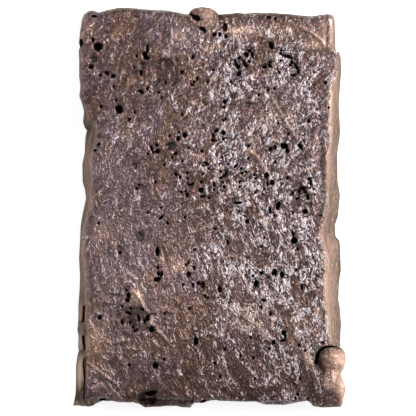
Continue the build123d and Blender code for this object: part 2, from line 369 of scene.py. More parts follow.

# %% [markdown]
# ## Stains, with painted light and shade
#
# The oxide skin isn't one colour. It is darker towards the bottom end, tan where bare copper
# shows on folds and along the rim, and cool purple where it is thin. Some patches paint
# light and shade instead: dark ones on the shaded left side of the corner drops, beside
# the lug and along the top edge, warm and light ones as painted light and highlights on the
# lit right side of the drops, on glints and on the left wall, and the gap patches as shade
# in narrow places that light hardly reaches. Stains could be painted on a texture by hand.
# Here each is a sum of soft round patches with a place, a size and an amount, so it stays
# sharp at any size, and the finish mixes a colour over the skin by that share later.

# %% Patches of each stain
stains = {
    # column, row, half width, half height, amount
    # dark: darker oxide, and painted shade on the left side of the corner drops, under the crease,
    # beside the lug, along the top edge and in the left wall's pockets
    "dark": [
        (250, 384, 66, 24, 0.85), (165, 388, 50, 18, 0.5), (133, 319, 15, 14, 0.9),
        (120, 50, 60, 50, 0.2), (110, 20, 40, 12, 0.1), (195, 350, 50, 30, 0.55),
        (313, 388, 7, 15, 0.5), (285, 350, 14, 12, 0.3), (128, 366, 22, 9, 0.25),
        (272, 345, 20, 12, 0.4), (262, 44, 9, 7, 0.5), (258, 158, 6, 8, 0.6),
        (186, 100, 26, 16, 0.25), (250, 110, 22, 12, 0.3), (296, 196, 12, 12, 0.4),
        (200, 186, 24, 10, 0.3), (240, 18, 60, 6, 0.4), (322, 110, 3, 34, 0.35),
        (321, 180, 4, 30, 0.4), (276, 19, 40, 7, 0.5), (319, 24, 7, 8, 0.5),
        (218, 15, 4, 7, 0.85), (260, 40, 12, 10, 0.4), (195, 11, 4, 2.5, 0.6),
        (233, 62, 11, 24, 0.25), (177, 74, 2.5, 8, 0.7), (210, 215, 50, 14, 0.2),
        (90, 100, 12, 30, 0.3), (96, 300, 16, 20, 0.2), (170, 300, 30, 12, 0.3),
        (304, 300, 12, 30, 0.2), (326, 348, 10, 5, 0.8), (319, 362, 5, 11, 1.0),
        (316, 401, 13, 6, 1.0), (313, 390, 9, 12, 1.0), (326, 373, 4, 4, 0.6),
        (322, 350, 5, 3, 0.6), (324, 398, 11, 8, 1.0), (334, 392, 4, 8, 0.6),
        (82, 354, 4, 3, 1.0), (240, 366, 66, 28, 0.5), (92, 396, 9, 9, 0.4),
        (163, 74, 11, 12, 0.75), (165, 406, 22, 4, 0.9), (82.5, 328, 3, 7, 0.9),
        (78, 397, 4, 5, 0.9), (84, 388, 3, 6, 0.9), (88, 127, 5, 5, 0.9),
        (92, 388, 8, 12, 0.25), (104, 362, 18, 9, 0.3), (78, 300, 1.5, 60, 0.5),
    ],
    # warm: tan and orange oxide, and painted light on the left wall and on the lit right side of
    # the corner drops
    "warm": [
        (205, 12, 14, 9, 0.4), (328, 32, 7, 16, 0.5), (340, 378, 6, 26, 1.0),
        (100, 232, 10, 9, 0.7), (178, 267, 14, 7, 0.7), (95, 338, 9, 14, 0.9),
        (328, 290, 6, 50, 0.8), (329, 160, 4, 26, 0.7), (90, 26, 8, 12, 0.4),
        (127, 135, 5, 6, 0.5), (270, 120, 16, 10, 0.3), (280, 30, 30, 10, 0.3),
        (240, 32, 14, 6, 0.6), (300, 330, 14, 20, 0.3), (136, 296, 9, 8, 0.6),
        (92, 402, 8, 5, 0.5), (250, 320, 24, 14, 0.3), (100, 360, 16, 12, 0.3),
        (335, 90, 4, 30, 0.5), (308, 362, 6, 12, 0.6), (80.5, 373, 4, 13, 1.0),
        (344, 360, 4, 12, 0.8), (343, 390, 4, 14, 0.8), (80, 343, 4, 8, 0.9),
        (80, 313, 4, 9, 0.9), (87, 165, 4, 30, 0.7), (83, 200, 4, 12, 0.5),
        (82, 265, 4, 30, 0.5), (334, 362, 9, 10, 0.5), (210, 22, 8, 9, 0.4),
        (336, 396, 8, 10, 0.5), (76, 403, 3, 3, 0.7),
    ],
    # light: painted highlights, on the lit right rims of the corner drops, on glints and ridges,
    # and on the lit shelf at the left
    "light": [
        (80.3, 371, 3.4, 15, 1.0), (80.5, 342, 3, 7, 0.6), (80.5, 314, 3, 8, 0.5),
        (343.5, 364, 2.4, 9, 0.5), (342.5, 392, 2.4, 12, 0.6), (336, 358, 4, 7, 0.2),
        (334, 377, 2.0, 6, 0.6), (177, 33, 4, 6, 0.3), (172.5, 42, 2, 5, 0.25),
        (184, 40, 2.5, 5, 0.2), (138, 296, 3, 4, 0.4), (208, 44, 1.3, 6, 0.5),
        (218, 46, 1.3, 4, 0.5), (236, 31, 4, 3, 0.4), (152, 320, 2.5, 4, 0.5),
        (243, 30, 12, 2.5, 0.5), (330.5, 96, 2, 22, 0.4), (326, 385, 3, 6, 0.3),
        (316, 44, 10, 4, 0.4), (325, 28, 2, 12, 0.3), (331, 30, 2, 14, 0.5),
        (76, 403, 3, 2, 0.5),
    ],
    # gap: painted shade in narrow places that light hardly reaches
    "gap": [
        (84.5, 372, 1.3, 15, 0.9), (83.5, 393, 2.3, 9, 1.0), (82, 352, 4, 2.2, 1.0),
        (84.2, 338, 1.2, 10, 0.9), (77, 364, 0.9, 12, 0.8), (76.4, 386, 1.0, 8, 0.8),
        (79.5, 399, 2.6, 4, 0.8), (88, 130, 3, 4, 0.9), (83, 300, 0.8, 10, 0.6),
        (337.5, 318, 1.2, 14, 0.5), (339.5, 265, 1.0, 12, 0.5), (133, 318, 11, 10, 0.5),
        (219.5, 17, 2, 4, 0.5), (336, 120, 0.9, 20, 0.35), (334.5, 170, 0.8, 18, 0.3),
        (80.8, 397, 2.4, 6, 1.0), (316, 395, 8, 11, 0.6), (312, 384, 6, 6, 0.3),
        (318, 364, 3.5, 8, 0.5), (322, 352, 5, 3, 0.4), (310, 380, 4, 8, 0.3),
        (328, 400, 9, 6, 0.35), (77.5, 392, 1.5, 5, 0.6), (91, 405, 8, 2, 0.4),
        (221, 16, 2.5, 3, 0.6),
    ],
    "cool": [
        (326, 386, 4.5, 9, 0.6), (110, 175, 26, 50, 0.7), (120, 270, 30, 40, 0.6),
        (150, 225, 30, 30, 0.6), (290, 100, 26, 30, 0.7), (285, 170, 26, 30, 0.5),
        (185, 38, 10, 10, 0.8), (250, 240, 50, 30, 0.4), (322, 218, 6, 24, 0.6),
        (332, 60, 9, 9, 1.0), (110, 376, 20, 9, 0.4), (220, 120, 30, 20, 0.3),
        (322, 190, 4, 18, 0.8),
    ],
}
print({name: len(patches_of_stain) for name, patches_of_stain in stains.items()})


# %% Share of a stain
def stain_share(name, at_column, at_row):
    """Sum over a stain's patches of amount * exp(-distance squared in half sizes), up to 1."""
    share = np.zeros(np.shape(at_column))
    for patch_column, patch_row, half_width, half_height, amount in stains[name]:
        u = (at_column - patch_column) / half_width
        v = (at_row - patch_row) / half_height
        share = share + amount * np.exp(-(u**2 + v**2))
    return np.clip(share, 0, 1)


for name in stains:
    print(name, "covers", round(float(stain_share(name, column, row).mean()), 2), "of the face")

# %% [markdown]
# ## Lap folds and grooves
#
# Where one tongue of metal froze before the next ran against it, a thin raised line stays.
# Where the skin was pulled apart, there is a groove. Both could be drawn as curves and
# projected. Here each is a path of a few pixels, and the face rises or sinks by a bell
# curve of the distance to that path, which leaves no seam in the mesh.

# %% Distance to a path
def path_distance(path, at_column=column, at_row=row):
    """Distance in pixels to the nearest of the path's straight runs."""
    nearest = np.full(at_column.shape, 1e9)
    for (c0, r0), (c1, r1) in zip(path[:-1], path[1:]):
        run_c, run_r = c1 - c0, r1 - r0
        share = ((at_column - c0) * run_c + (at_row - r0) * run_r) / (run_c**2 + run_r**2)
        share = np.clip(share, 0, 1)
        reach = np.hypot(at_column - c0 - share * run_c, at_row - r0 - share * run_r)
        nearest = np.minimum(nearest, reach)
    return nearest


def bell(distance, half_width):
    """exp(-(distance / half width)^2): 1 on the line, and fading beside it."""
    return np.exp(-((distance / half_width) ** 2))


print("bell at one half width:", round(float(bell(1, 1)), 2))

# %% Laps
tan_rise = 0.45
laps = [
    # rise in mm, half width in pixels, path
    (0.45, 2.0, [(300, 26), (310, 31), (319, 38), (328, 47), (336, 53)]),
    (0.35, 1.3, [(271, 95), (281, 113), (290, 129), (297, 138)]),
    (0.35, 1.6, [(240, 130), (246, 133), (251, 140)]),
    (0.45, 1.8, [(250, 151), (257, 157), (262, 165), (267, 172)]),
    (0.3, 1.5, [(222, 258), (232, 256), (242, 259)]),
    (0.4, 1.4, [(227, 307), (240, 314), (253, 322), (264, 334), (270, 342)]),
    (0.2, 1.0, [(162, 308.5), (168, 310.5), (175, 312), (185, 312)]),
    (0.25, 1.0, [(98, 318), (117, 320), (126, 326), (136, 332.5)]),
    (0.35, 1.5, [(104, 341), (112, 343), (128, 340)]),
    (0.2, 1.0, [
        (86, 356), (95, 353.5), (105, 352), (114, 352.5), (118, 357), (122, 363), (128, 366.5),
    ]),
    (0.3, 1.2, [(87, 362), (95, 368), (103, 374.5), (112, 381), (118, 385)]),
    (0.25, 1.4, [(86, 370), (94, 372), (104, 378), (110, 380)]),
    (0.3, 1.3, [(102, 385), (110, 394)]),
    (0.3, 1.3, [(107, 383), (113, 391), (120, 397)]),
    (0.4, 1.3, [(215, 42), (211, 48), (208, 56)]),
    (0.3, 1.2, [(216, 43), (221, 49)]),
    (0.22, 1.2, [(171, 35), (170.5, 40), (171.5, 45)]),
    (0.3, 1.1, [(162.5, 50), (163.5, 57)]),
    (0.3, 1.1, [(169, 48), (167.5, 56)]),
    (0.45, 1.6, [(232, 37), (236, 31), (242, 28), (252, 27)]),
    (0.5, 1.2, [(86, 31), (89, 27.5), (92, 24)]),
    (0.35, 1.2, [(94, 34), (97, 31), (101, 27)]),
    (0.35, 1.2, [(112, 36), (116, 30), (121, 24)]),
    (0.35, 1.3, [(144, 35), (150, 30)]),
    (0.3, 1.1, [(125, 91), (129, 86), (133, 81)]),
    (0.3, 1.2, [(140, 100), (145, 94)]),
    (0.3, 1.1, [(118, 60), (121, 54)]),
    (0.3, 1.2, [(103, 43), (101, 52)]),
    (0.35, 1.3, [(176, 45), (181, 38), (187, 31)]),
    (0.35, 1.3, [(184, 47), (189, 40), (195, 35)]),
    (0.3, 1.2, [(196, 65), (201, 58), (206, 49)]),
    (0.35, 1.4, [(281, 372), (282, 365), (286, 359), (291, 358)]),
    (0.4, 1.6, [(122, 277), (127, 273), (136, 279)]),
    (0.3, 1.2, [
        (131, 291), (137, 295), (141, 301), (144, 309), (149, 312.5), (155, 312), (162, 308.5),
    ]),
    (0.5, 2.2, [(304, 351), (307, 358), (311, 364), (317, 369)]),
    (0.35, 1.5, [(274, 362), (275, 368), (276, 373)]),
    (0.35, 1.4, [(152, 340), (158, 347)]),
    (0.35, 1.5, [(156, 329), (163, 336), (167, 341)]),
    (0.6, 2.4, [
        (331, 82), (330, 90), (332, 98), (328.5, 106), (330.5, 114), (327.5, 124), (329.5, 134),
    ]),
    (0.5, 1.8, [(329.5, 134), (330.5, 144), (327, 156), (326.5, 170), (326.5, 184)]),
    (0.4, 1.8, [(325.5, 184), (327, 198), (323.5, 212), (322.5, 224), (319.5, 238)]),
    (0.4, 1.6, [(321, 262), (325, 272), (323.5, 286), (325.5, 300), (326, 318)]),
    (0.4, 1.6, [(197, 398), (203, 394), (209, 391), (219, 394.5), (228, 399)]),
]
lap_line = np.zeros(column.shape)
for rise, half_width, path in laps:
    share = bell(path_distance(path), half_width)
    height += rise * share
    lap_line = np.maximum(lap_line, share * rise / tan_rise)
print(len(laps), "laps, the highest", max(lap[0] for lap in laps), "mm")

# %% Grooves
full_groove = 0.8
grooves = [
    # depth in mm, half width in pixels, path
    (0.5, 2.8, [
        (326, 88), (323, 100), (326, 112), (322, 126), (318, 136), (322, 148), (321, 160),
    ]),
    (0.6, 3.0, [(319, 164), (323, 176), (322.5, 190), (324, 202), (319, 214)]),
    (0.4, 1.8, [(319, 298), (322.5, 312), (321, 326)]),
    (0.5, 1.6, [(163, 249), (165, 258), (167.5, 268)]),
    (0.6, 1.6, [(176, 61), (177, 70), (176.5, 80), (173, 87)]),
    (0.5, 1.5, [(137, 165), (140, 160), (146, 158.4), (150, 159.6)]),
    (0.6, 1.8, [(121, 300), (124, 292), (129, 287.5)]),
    (0.8, 1.5, [(326, 17), (326.5, 30), (326, 45)]),
    (0.5, 1.4, [(300, 17), (304, 24), (309, 30)]),
    (0.5, 1.6, [(262, 84), (272, 98), (283, 112)]),
]
groove_line = np.zeros(column.shape)
for depth, half_width, path in grooves:
    share = bell(path_distance(path), half_width)
    height -= depth * share
    groove_line = np.maximum(groove_line, share * depth / full_groove)
print(len(grooves), "grooves, the deepest", max(groove[0] for groove in grooves), "mm")

# %% [markdown]
# ## Dark edges, painted shade
#
# Where a layer of metal hangs over the one below, a thin line of shade shows along it. The
# gap is finer than the grid, so the shade is painted: a share of black is stored along a
# path instead, and the finish lets less light out there. The function also takes places on
# the wall, where it paints shade into the crevices behind the shelves.

# %% Paths of the dark edges
edges = [
    # share of painted black shade, half width in pixels, path
    (0.9, 1.1, [(168, 59), (174, 63), (176, 71), (175.5, 79), (172, 86)]),
    (0.5, 0.9, [(152, 62), (160, 60), (168, 59)]),
    (0.6, 0.8, [(136, 163), (139, 160), (145, 158.5), (150, 161), (150, 168), (146, 175)]),
    (0.8, 1.5, [(88, 122), (93, 127), (96, 134), (95, 142), (92, 150)]),
    (0.95, 1.3, [(85.4, 357), (84.8, 372), (84, 384), (83, 398)]),
    (0.8, 1.2, [(83, 312), (84.5, 330), (84.5, 344), (80, 352)]),
    (0.45, 1.0, [(323, 150), (326, 165), (326.5, 180), (325, 200)]),
    (0.6, 1.0, [(97, 401), (103, 398.6), (110, 399), (116, 401)]),
    (0.5, 0.8, [(86.5, 364), (96, 371), (106, 379), (116, 385)]),
    (0.5, 0.8, [(270, 97), (279, 113), (288, 130)]),
    (0.4, 1.0, [(301, 18), (306, 25), (310, 30)]),
    (0.35, 1.1, [(325.5, 17), (325, 30), (327, 44), (332, 50)]),
    (0.35, 1.2, [(302, 362), (297, 374), (292, 388)]),
    (0.5, 0.8, [(115, 294.5), (120, 292.5), (125, 293.5)]),
    (0.45, 0.8, [(105, 305), (111, 303), (119, 306)]),
    (0.55, 0.9, [(150, 314), (158, 313.6), (166, 311.5), (175, 313.6)]),
]


def near_edges(at_column, at_row):
    """Painted shade: the largest of share * exp(-(distance / half width)^2) over the dark edges."""
    dark = np.zeros(np.shape(at_column))
    for amount, half_width, path in edges:
        dark = np.maximum(dark, amount * bell(path_distance(path, at_column, at_row), half_width))
    return dark


print(len(edges), "dark edges")

# %% [markdown]
# ## Ledges along the rim, and the slanted corner
#
# At a few places the metal stopped short of the rim and left a lower ledge, and the top
# right corner slants down. A ledge is a block with round corners that is pressed into the
# face. Cutting it with a boolean would leave a hard edge, which cast metal doesn't have.

# %% Ledges
corner_power = 4
wobble_reach, wobble_length = 0.16, 3.4
ledge_inside, ledge_outside = 0.82, 1.08
ledges = [
    # column, row, half width, half height, drop in mm
    (165, 406, 27, 8, 4.2), (279, 407, 20, 6, 3.6), (104, 402, 6, 5, 3.0),
    (149, 397, 10, 6.5, 1.6), (92, 127, 5, 5.5, 2.4),
]


def block_share(place_column, place_row, half_width, half_height):
    """Share of a block with round corners: 4th root of (u / half width)^4 + (v / half height)^4."""
    u = np.abs(column - place_column) / half_width
    v = np.abs(row - place_row) / half_height
    wobble = wobble_reach * noise(column / wobble_length, row / wobble_length, 55)
    return (u**corner_power + v**corner_power) ** (1 / corner_power) + wobble


for ledge_column, ledge_row, half_width, half_height, drop in ledges:
    share = block_share(ledge_column, ledge_row, half_width, half_height)
    height -= drop * (1 - smooth_step(ledge_inside, ledge_outside, share))
print(len(ledges), "ledges")

# %% Slanted corner: a slope that starts at a ridge and falls towards the top right
ridge_column, ridge_row = 300, 26
ridge_across, ridge_along = 0.6, 0.8
slope_reach = 24
slope_drop = 4.6
slope_columns, slope_rows = (296, 306), (54, 62)
past_ridge = ridge_across * (column - ridge_column) - ridge_along * (row - ridge_row)
slope_share = smooth_step(1, slope_reach, past_ridge) * smooth_step(*slope_columns, column)
slope_share = slope_share * (1 - smooth_step(*slope_rows, row))
height -= slope_drop * slope_share
print("the corner lies at", round(float(height[-1, -1]), 1), "mm")

# %% [markdown]
# ## Craters and gas pits
#
# Gas left the metal while it froze. A wide bubble burst into a shallow crater with a
# raised edge, and small bubbles left deep dark pits. Each is an ellipse of pixels, with
# its edge roughened by noise. A function gives the distance from its middle as a share
# of the ellipse, and the height follows from that share. Boolean cuts would be sharper,
# but hundreds of them are slow and often leave open meshes.

# %% Ellipses with rough edges
rough_length = 2.2


def ellipse_share(place_column, place_row, width, length, turn, rough, seed):
    """Square root of (u / half width)^2 + (v / half length)^2, with noise added."""
    angle = np.radians(turn)
    away_c = column - place_column
    away_r = place_row - row
    u = away_c * np.cos(angle) + away_r * np.sin(angle)
    v = away_r * np.cos(angle) - away_c * np.sin(angle)
    share = np.hypot(u / (width / 2), v / (length / 2))
    return share + rough * noise(column / rough_length, row / rough_length, seed)


print("ellipses are roughened every", rough_length, "pixels")

# %% Craters
crater_rough = 0.12
crater_floor, crater_mouth = 0.6, 1.0
ring_share, ring_width = 1.08, 0.14
craters = [
    # column, row, width, length, turn, depth in mm, height of the edge in mm
    (163, 73, 25, 29, -14, 0.7, 0.15), (143, 168, 18, 17, 0, 0.35, 0.12),
    (154, 180, 9, 15, 0, 0.45, 0.1), (119, 252, 9, 14, 0, 0.35, 0.12),
    (150, 332, 13, 13, 0, 0.6, 0.2), (106.7, 35, 6, 8, 0, 0.8, 0.1),
    (137, 19, 7, 7, 0, 0.7, 0.05), (107, 75, 17, 9, -10, 0.4, 0.1),
    (134, 319, 27, 29, 0, 0.55, 0.1), (294, 68, 11, 15, 0, 0.5, 0.15),
    (186, 181, 18, 22, 0, 0.4, 0.1), (247, 56, 10, 12, 0, 0.5, 0.1),
    (262, 43, 13, 11, 0, 0.25, 0.05), (141, 193, 14, 18, 0, 0.4, 0.1),
    (295, 195, 14, 13, 0, 0.5, 0.1), (113, 298, 20, 10, 0, 0.3, 0.1),
    (147, 398, 21, 17, 0, 2.4, 0.15),
]
for number, (crater_column, crater_row, width, length, turn, depth, edge) in enumerate(craters):
    seed = 40 + number
    share = ellipse_share(crater_column, crater_row, width, length, turn, crater_rough, seed)
    height -= depth * (1 - smooth_step(crater_floor, crater_mouth, share))
    height += edge * np.exp(-(((share - ring_share) / ring_width) ** 2))
print(len(craters), "craters")

# %% Black pits, in pixels and degrees
black_pits = [
    # column, row, width, length, turn
    (98, 46.8, 9, 8, 0), (91, 67, 5.5, 4.5, 0), (93, 40, 3.5, 5, 0), (81, 43, 4, 8, 0),
    (107, 73.4, 6, 3, -30), (113, 76.5, 4.5, 4, 0), (100, 75, 3, 3, 0),
    (136.7, 56, 2.4, 3.4, 0), (147.3, 48.5, 3, 9, -8), (146.3, 57.5, 6.5, 4.6, -20),
    (144.5, 54, 5, 4, 0), (141.3, 73, 3.6, 6, -15), (147.2, 88.5, 3, 4, -20),
    (141, 91.8, 6, 3.6, -20), (158.3, 92.5, 3.6, 2.4, -30), (161.5, 97.5, 2, 2, 0),
    (113.8, 86.8, 1.6, 2.4, -30), (115.7, 100.7, 2.2, 2.2, 0), (101.3, 106.5, 3.6, 3.2, 20),
    (119, 109.5, 7.6, 8.4, 20), (134.5, 112.4, 2.6, 1.7, 0), (128.9, 119.5, 4, 2.2, 35),
    (202, 28.8, 7, 4, -20), (205, 31.5, 3, 3, 0), (214, 34.5, 5, 3, 25),
    (219.5, 34.5, 3, 5, 0), (226, 36.5, 4, 4, 0), (192.7, 57, 2.2, 4.4, -15),
    (212.9, 69.8, 2.6, 1.8, 0), (197.3, 78.5, 2.5, 4, 0), (194, 82, 3, 2.2, 0),
    (207.5, 82, 3.2, 2, 0), (231, 81.6, 2, 2, 0), (246.5, 54.5, 4.4, 5, 30),
    (249.5, 50.6, 4, 3, 0), (252.4, 55, 1.7, 7, 8), (235.3, 63, 2.6, 7, 0),
    (238, 67, 4.4, 4.4, 0), (245.8, 65.6, 5, 4, -35), (244, 62, 2.4, 4, 0),
    (249, 61.5, 1.6, 4, 30), (239, 57.8, 4, 2.4, 30), (238.5, 74, 5, 4.6, 20),
    (264.5, 67, 5.6, 3.2, -10), (270, 65.8, 6, 3, -35), (270, 61.8, 2.2, 2.2, 0),
    (270.8, 45.5, 4.8, 7.2, 10), (268.5, 17.3, 4.6, 1.8, 0), (275, 18.7, 2.2, 2.2, 0),
    (281.2, 50.5, 2.2, 2.2, 0), (280.5, 53.8, 5, 2.4, -40), (287, 56.4, 9, 2.6, -8),
    (291.5, 58, 2, 3, 0), (291.5, 62.4, 3.6, 3.4, 0), (296.5, 66.5, 1.8, 9, 30),
    (298.2, 71.5, 1.8, 6, 0), (293, 75.3, 6, 3, 10), (290, 65.5, 2, 2.6, 0),
    (279.3, 72.3, 3.5, 3.2, -30), (280.8, 60.6, 2.2, 2, 0), (325.3, 82.8, 4, 3.2, -30),
    (274, 88.6, 2, 3, 0), (268, 90, 2, 2, 0), (224.2, 101.8, 4, 4.4, 0),
    (224.3, 107.2, 2.6, 2.6, 0), (258.5, 95, 1.8, 2.6, 0), (328.5, 107.7, 2, 2, 0),
    (182.3, 114.3, 3, 4.4, 0), (225.3, 118.6, 2, 2, 0), (222.8, 120.3, 1.6, 1.6, 0),
    (216.5, 130.8, 5.6, 3, 40), (213, 135.5, 2.4, 4.6, 0), (212.8, 140.3, 5, 2.8, -15),
    (223.2, 132.9, 4.8, 4.6, 0), (223.2, 139, 2.8, 2.4, 0), (179, 132, 2.2, 1.9, 0),
    (169.4, 136, 2, 2, 0), (178, 138.2, 4.2, 5, 0), (185, 135.4, 5, 5.4, 0),
    (172, 157.4, 2.4, 3, 0), (175.5, 153.6, 5, 1.6, 30), (188.6, 147.9, 2.4, 2.4, 0),
    (201.8, 151.3, 3.2, 3, 0), (156.7, 145.3, 4, 3.2, 0), (157.4, 151.3, 5, 4, 20),
    (151.5, 148.5, 1.8, 7, 20), (153.4, 152.7, 1.6, 2.6, 35), (147.6, 154, 2.8, 2, 0),
    (155.2, 182.2, 2.8, 3.4, 0), (138.8, 185.2, 2.6, 2.2, 0), (136.5, 188.3, 3.2, 3, 20),
    (182, 161.2, 3, 2, 30), (164.5, 165, 2, 2, 0), (206, 163.5, 5.8, 3, -35),
    (203, 165.5, 2, 2, 0), (208.6, 168.5, 2.2, 2.2, 0), (202.7, 173.8, 2.6, 2.2, 0),
    (201, 182, 3, 3.4, 0), (176, 174.5, 5, 2.4, -20), (180, 177, 2.6, 4, 0),
    (187, 173, 3.2, 2, -20), (187.6, 178.6, 1.8, 1.8, 0), (188.4, 184.6, 4, 2.6, -30),
    (192, 184, 4, 2, 0), (181, 192, 2.2, 2.2, 0), (185, 191.5, 2.2, 2.2, 0),
    (187.4, 194.8, 4.2, 4, -30), (201, 190, 6.4, 4.6, 0), (202.5, 196.5, 5.6, 2.8, 15),
    (209, 197.8, 2.4, 2, -30), (214, 184.5, 2.4, 6.4, 12), (213.8, 190, 2.2, 2, 0),
    (224.2, 186.8, 3, 4.4, 35), (222.8, 182.5, 1.7, 1.7, 0), (224.5, 175.2, 6, 3.4, 35),
    (221, 178, 3, 2, 0), (220.5, 171.5, 3.4, 2.4, -20), (227.8, 164, 2.4, 2.2, 0),
    (235.7, 166, 5, 2, 45), (241, 168.3, 3.2, 3, 0), (242, 173.3, 3, 3.6, 0),
    (246.2, 172.2, 2.4, 1.8, 0), (239.5, 182, 2, 3.4, 0), (239.6, 186.6, 2.4, 1.8, 0),
    (254, 175, 2.4, 3.4, 30), (255.3, 178.5, 2, 1.8, 0), (266.3, 175.5, 5, 6, -20),
    (272.2, 182.3, 5, 6, 0), (267.6, 184, 2, 5, 20), (255.5, 192, 2, 2, 0),
    (248, 158.5, 2.4, 1.8, 0), (248, 145.6, 2.2, 2.2, 0), (222.2, 157.4, 2.6, 1.6, 20),
    (278, 123.5, 2, 2, 0), (275.3, 162.4, 1.8, 1.6, 0), (288, 134, 2, 2.8, 0),
    (270.3, 149.3, 4.4, 3.6, 20), (275, 147.5, 3, 4.4, 35), (284.2, 146, 8, 5.4, -10),
    (287, 150.4, 4, 5.6, 10), (300, 146.4, 3.8, 8.4, 35), (308.5, 121, 2.6, 5, 0),
    (287.3, 178.3, 3.6, 3.2, 20), (310.4, 182.5, 2, 7.4, 8), (308.5, 178.8, 3, 1.8, -30),
    (302.5, 188.4, 6.6, 4, 0), (305, 192, 4, 3, 0), (307.6, 197, 3.4, 6.4, 12),
    (299, 191.5, 3, 3, 0), (293, 193, 3, 2, 0), (297, 198.6, 4, 2, 0),
    (237.7, 203, 10.4, 2.8, 2), (247, 221.3, 4, 4.4, 0), (278, 205.8, 4.6, 8.4, -20),
    (270, 210, 2.8, 6.8, 0), (274, 215.6, 2.4, 2.4, 0), (292.7, 213, 2.8, 2.8, 0),
    (304.5, 211.5, 5.6, 4.2, 0), (320.3, 216, 1.7, 1.7, 0), (238.9, 211.3, 2, 2, 0),
    (185, 217.4, 2.4, 3, 0), (161, 217.6, 6.2, 2.6, 38), (167.3, 222.8, 2.8, 4.4, 30),
    (98.6, 223.2, 2, 2, 0), (157.5, 251.6, 4.7, 8.2, 0), (119.8, 252.8, 3, 3, 0),
    (214.8, 229, 1.8, 1.8, 0), (264.3, 238, 2.6, 2.4, 0), (227.6, 242.5, 3, 4.4, 0),
    (261.5, 246.7, 2, 3.4, 0), (294, 241, 6.4, 6.4, 0), (293, 234, 2.6, 7, 10),
    (297.6, 248.7, 2.2, 2.8, 0), (194.5, 250, 2, 2, 0), (147.5, 212.7, 2, 1.8, 0),
    (161, 208, 1.8, 1.8, 0), (186, 265, 2, 2, 0), (198.2, 283.3, 4, 3.6, 0),
    (183, 285, 1.8, 1.8, 0), (219.5, 289.2, 4, 6.8, 0), (205, 296, 2.2, 3.4, 0),
    (157.7, 267.8, 2.4, 3.8, 0), (157, 279.6, 7.6, 4.6, 0), (158.4, 274, 1.8, 5, 5),
    (161.6, 274.5, 2.4, 6, -10), (253, 275.8, 3.6, 3, 0), (261.2, 273, 3.6, 3.4, 0),
    (268.3, 277.5, 2.8, 3.4, 0), (256, 283.7, 5, 6.6, 0), (274.5, 272.5, 5.6, 6.4, 0),
    (281.7, 274.7, 4.2, 6.6, 0), (296, 270, 2.8, 2.8, 0), (302, 287, 2.8, 5.6, 0),
    (263.5, 300.5, 4.4, 2.2, -10), (261, 307.3, 2.8, 2.4, 0), (270.5, 314.3, 3.4, 3.4, 0),
    (128.4, 295.6, 4.4, 6, 0), (127.4, 300.4, 5, 4, 0), (126.4, 290, 2.4, 4, 30),
    (142.5, 309.6, 4.6, 2.6, -40), (147.6, 318, 4.6, 5.6, 0), (151.6, 329.4, 5.4, 5.4, 0),
    (99.7, 317.5, 5, 4.2, 0), (164.5, 313.7, 2.4, 2.2, 0), (189.3, 309.2, 1.8, 1.8, 0),
    (195.7, 341.3, 4.6, 8.4, 0), (224.8, 349.5, 1.8, 1.8, 0), (240.4, 356, 1.8, 1.8, 0),
    (253.3, 357.8, 3.4, 3, 20), (255, 378.8, 2.2, 2.2, 0), (214.6, 363.2, 2, 3, 0),
    (219.8, 376.2, 2, 2, 0), (273.3, 342.3, 4.2, 4.8, 0), (269.2, 349, 1.8, 3.4, 15),
    (283.4, 333, 5, 4.4, 0), (285, 336, 3, 4, 0), (282.8, 340.6, 6.4, 3, 20),
    (299, 345, 3.2, 3.8, 0), (304.8, 350.5, 2.4, 2.4, 0), (129, 365.5, 3, 3, 30),
    (155, 365.6, 5.6, 5.8, 0), (163.8, 359.6, 2, 1.8, 0), (300, 378.5, 1.7, 2.6, 0),
    (297.5, 394.5, 1.8, 3.6, 35), (295.4, 398, 1.8, 2, 0), (322.5, 342.5, 1.6, 1.6, 0),
    (250.5, 337.3, 1.8, 1.6, 0), (308, 398.3, 3, 2, -20), (98.5, 144.5, 2.6, 4.4, -40),
    (95.3, 150.3, 2, 1.8, 0), (165.6, 82, 1.8, 1.8, 0), (196.5, 17.8, 9, 5.5, -25),
    (191.8, 14.8, 4, 2, -25), (92, 126.5, 7, 8, 20), (94, 16.2, 6, 2.7, -10),
    (151, 393, 13, 5, 12), (82.5, 388.5, 2.6, 7, 0), (103, 399.5, 8, 3, 0),
    (202.5, 401.6, 7, 2.7, 25), (122, 322, 2.8, 6, 0), (122, 306.5, 2.7, 3, 0),
    (128, 313, 7, 2.8, -15), (130, 322.5, 3, 3, 0), (133, 327, 2.8, 3.6, 0),
    (138.5, 318, 2.8, 8, 10), (135.5, 330.6, 5, 2.7, 25), (130.5, 309, 3, 2.7, 0),
    (144.5, 321, 2.8, 4, 0),
]
print(len(black_pits), "black pits")

# %% Shallow grey pits, and pits lined with red oxide
grey_pits = [
    (94, 59, 8.6, 6.4, 0), (142.3, 65.5, 6.6, 7.6, 20), (156, 83.4, 10, 5, 35),
    (172, 146, 9, 8, 0), (167.5, 147, 6, 7, 0), (134.8, 166, 5, 6.4, 0), (233, 97, 7, 4, 0),
    (248, 104.4, 8, 4.6, 10), (139.8, 237.2, 9.3, 9.8, 0), (310.3, 204.5, 4.6, 6, 0),
    (99, 136, 4.6, 4, 0), (226.5, 172, 5, 6, 0), (320.5, 119.5, 3, 4, 0),
    (141, 398, 8, 9, 0),
]
red_pits = [
    (224.8, 27.3, 5.4, 8.4, 0), (134, 67.2, 3, 3, 0), (181.8, 72.3, 4.6, 3.6, 20),
    (192, 84.8, 6, 2, -20), (212.5, 140.5, 3.6, 2, 0), (188.3, 262.5, 1.8, 3.6, 0),
    (194.3, 268, 2.8, 5, 0), (188.5, 274.5, 5, 5.4, 0), (202.4, 285, 5, 6, 0),
    (192.7, 285, 2.6, 4.8, 0), (207.5, 298, 3, 2.4, 0),
]
print(len(grey_pits), "grey pits and", len(red_pits), "red ones")

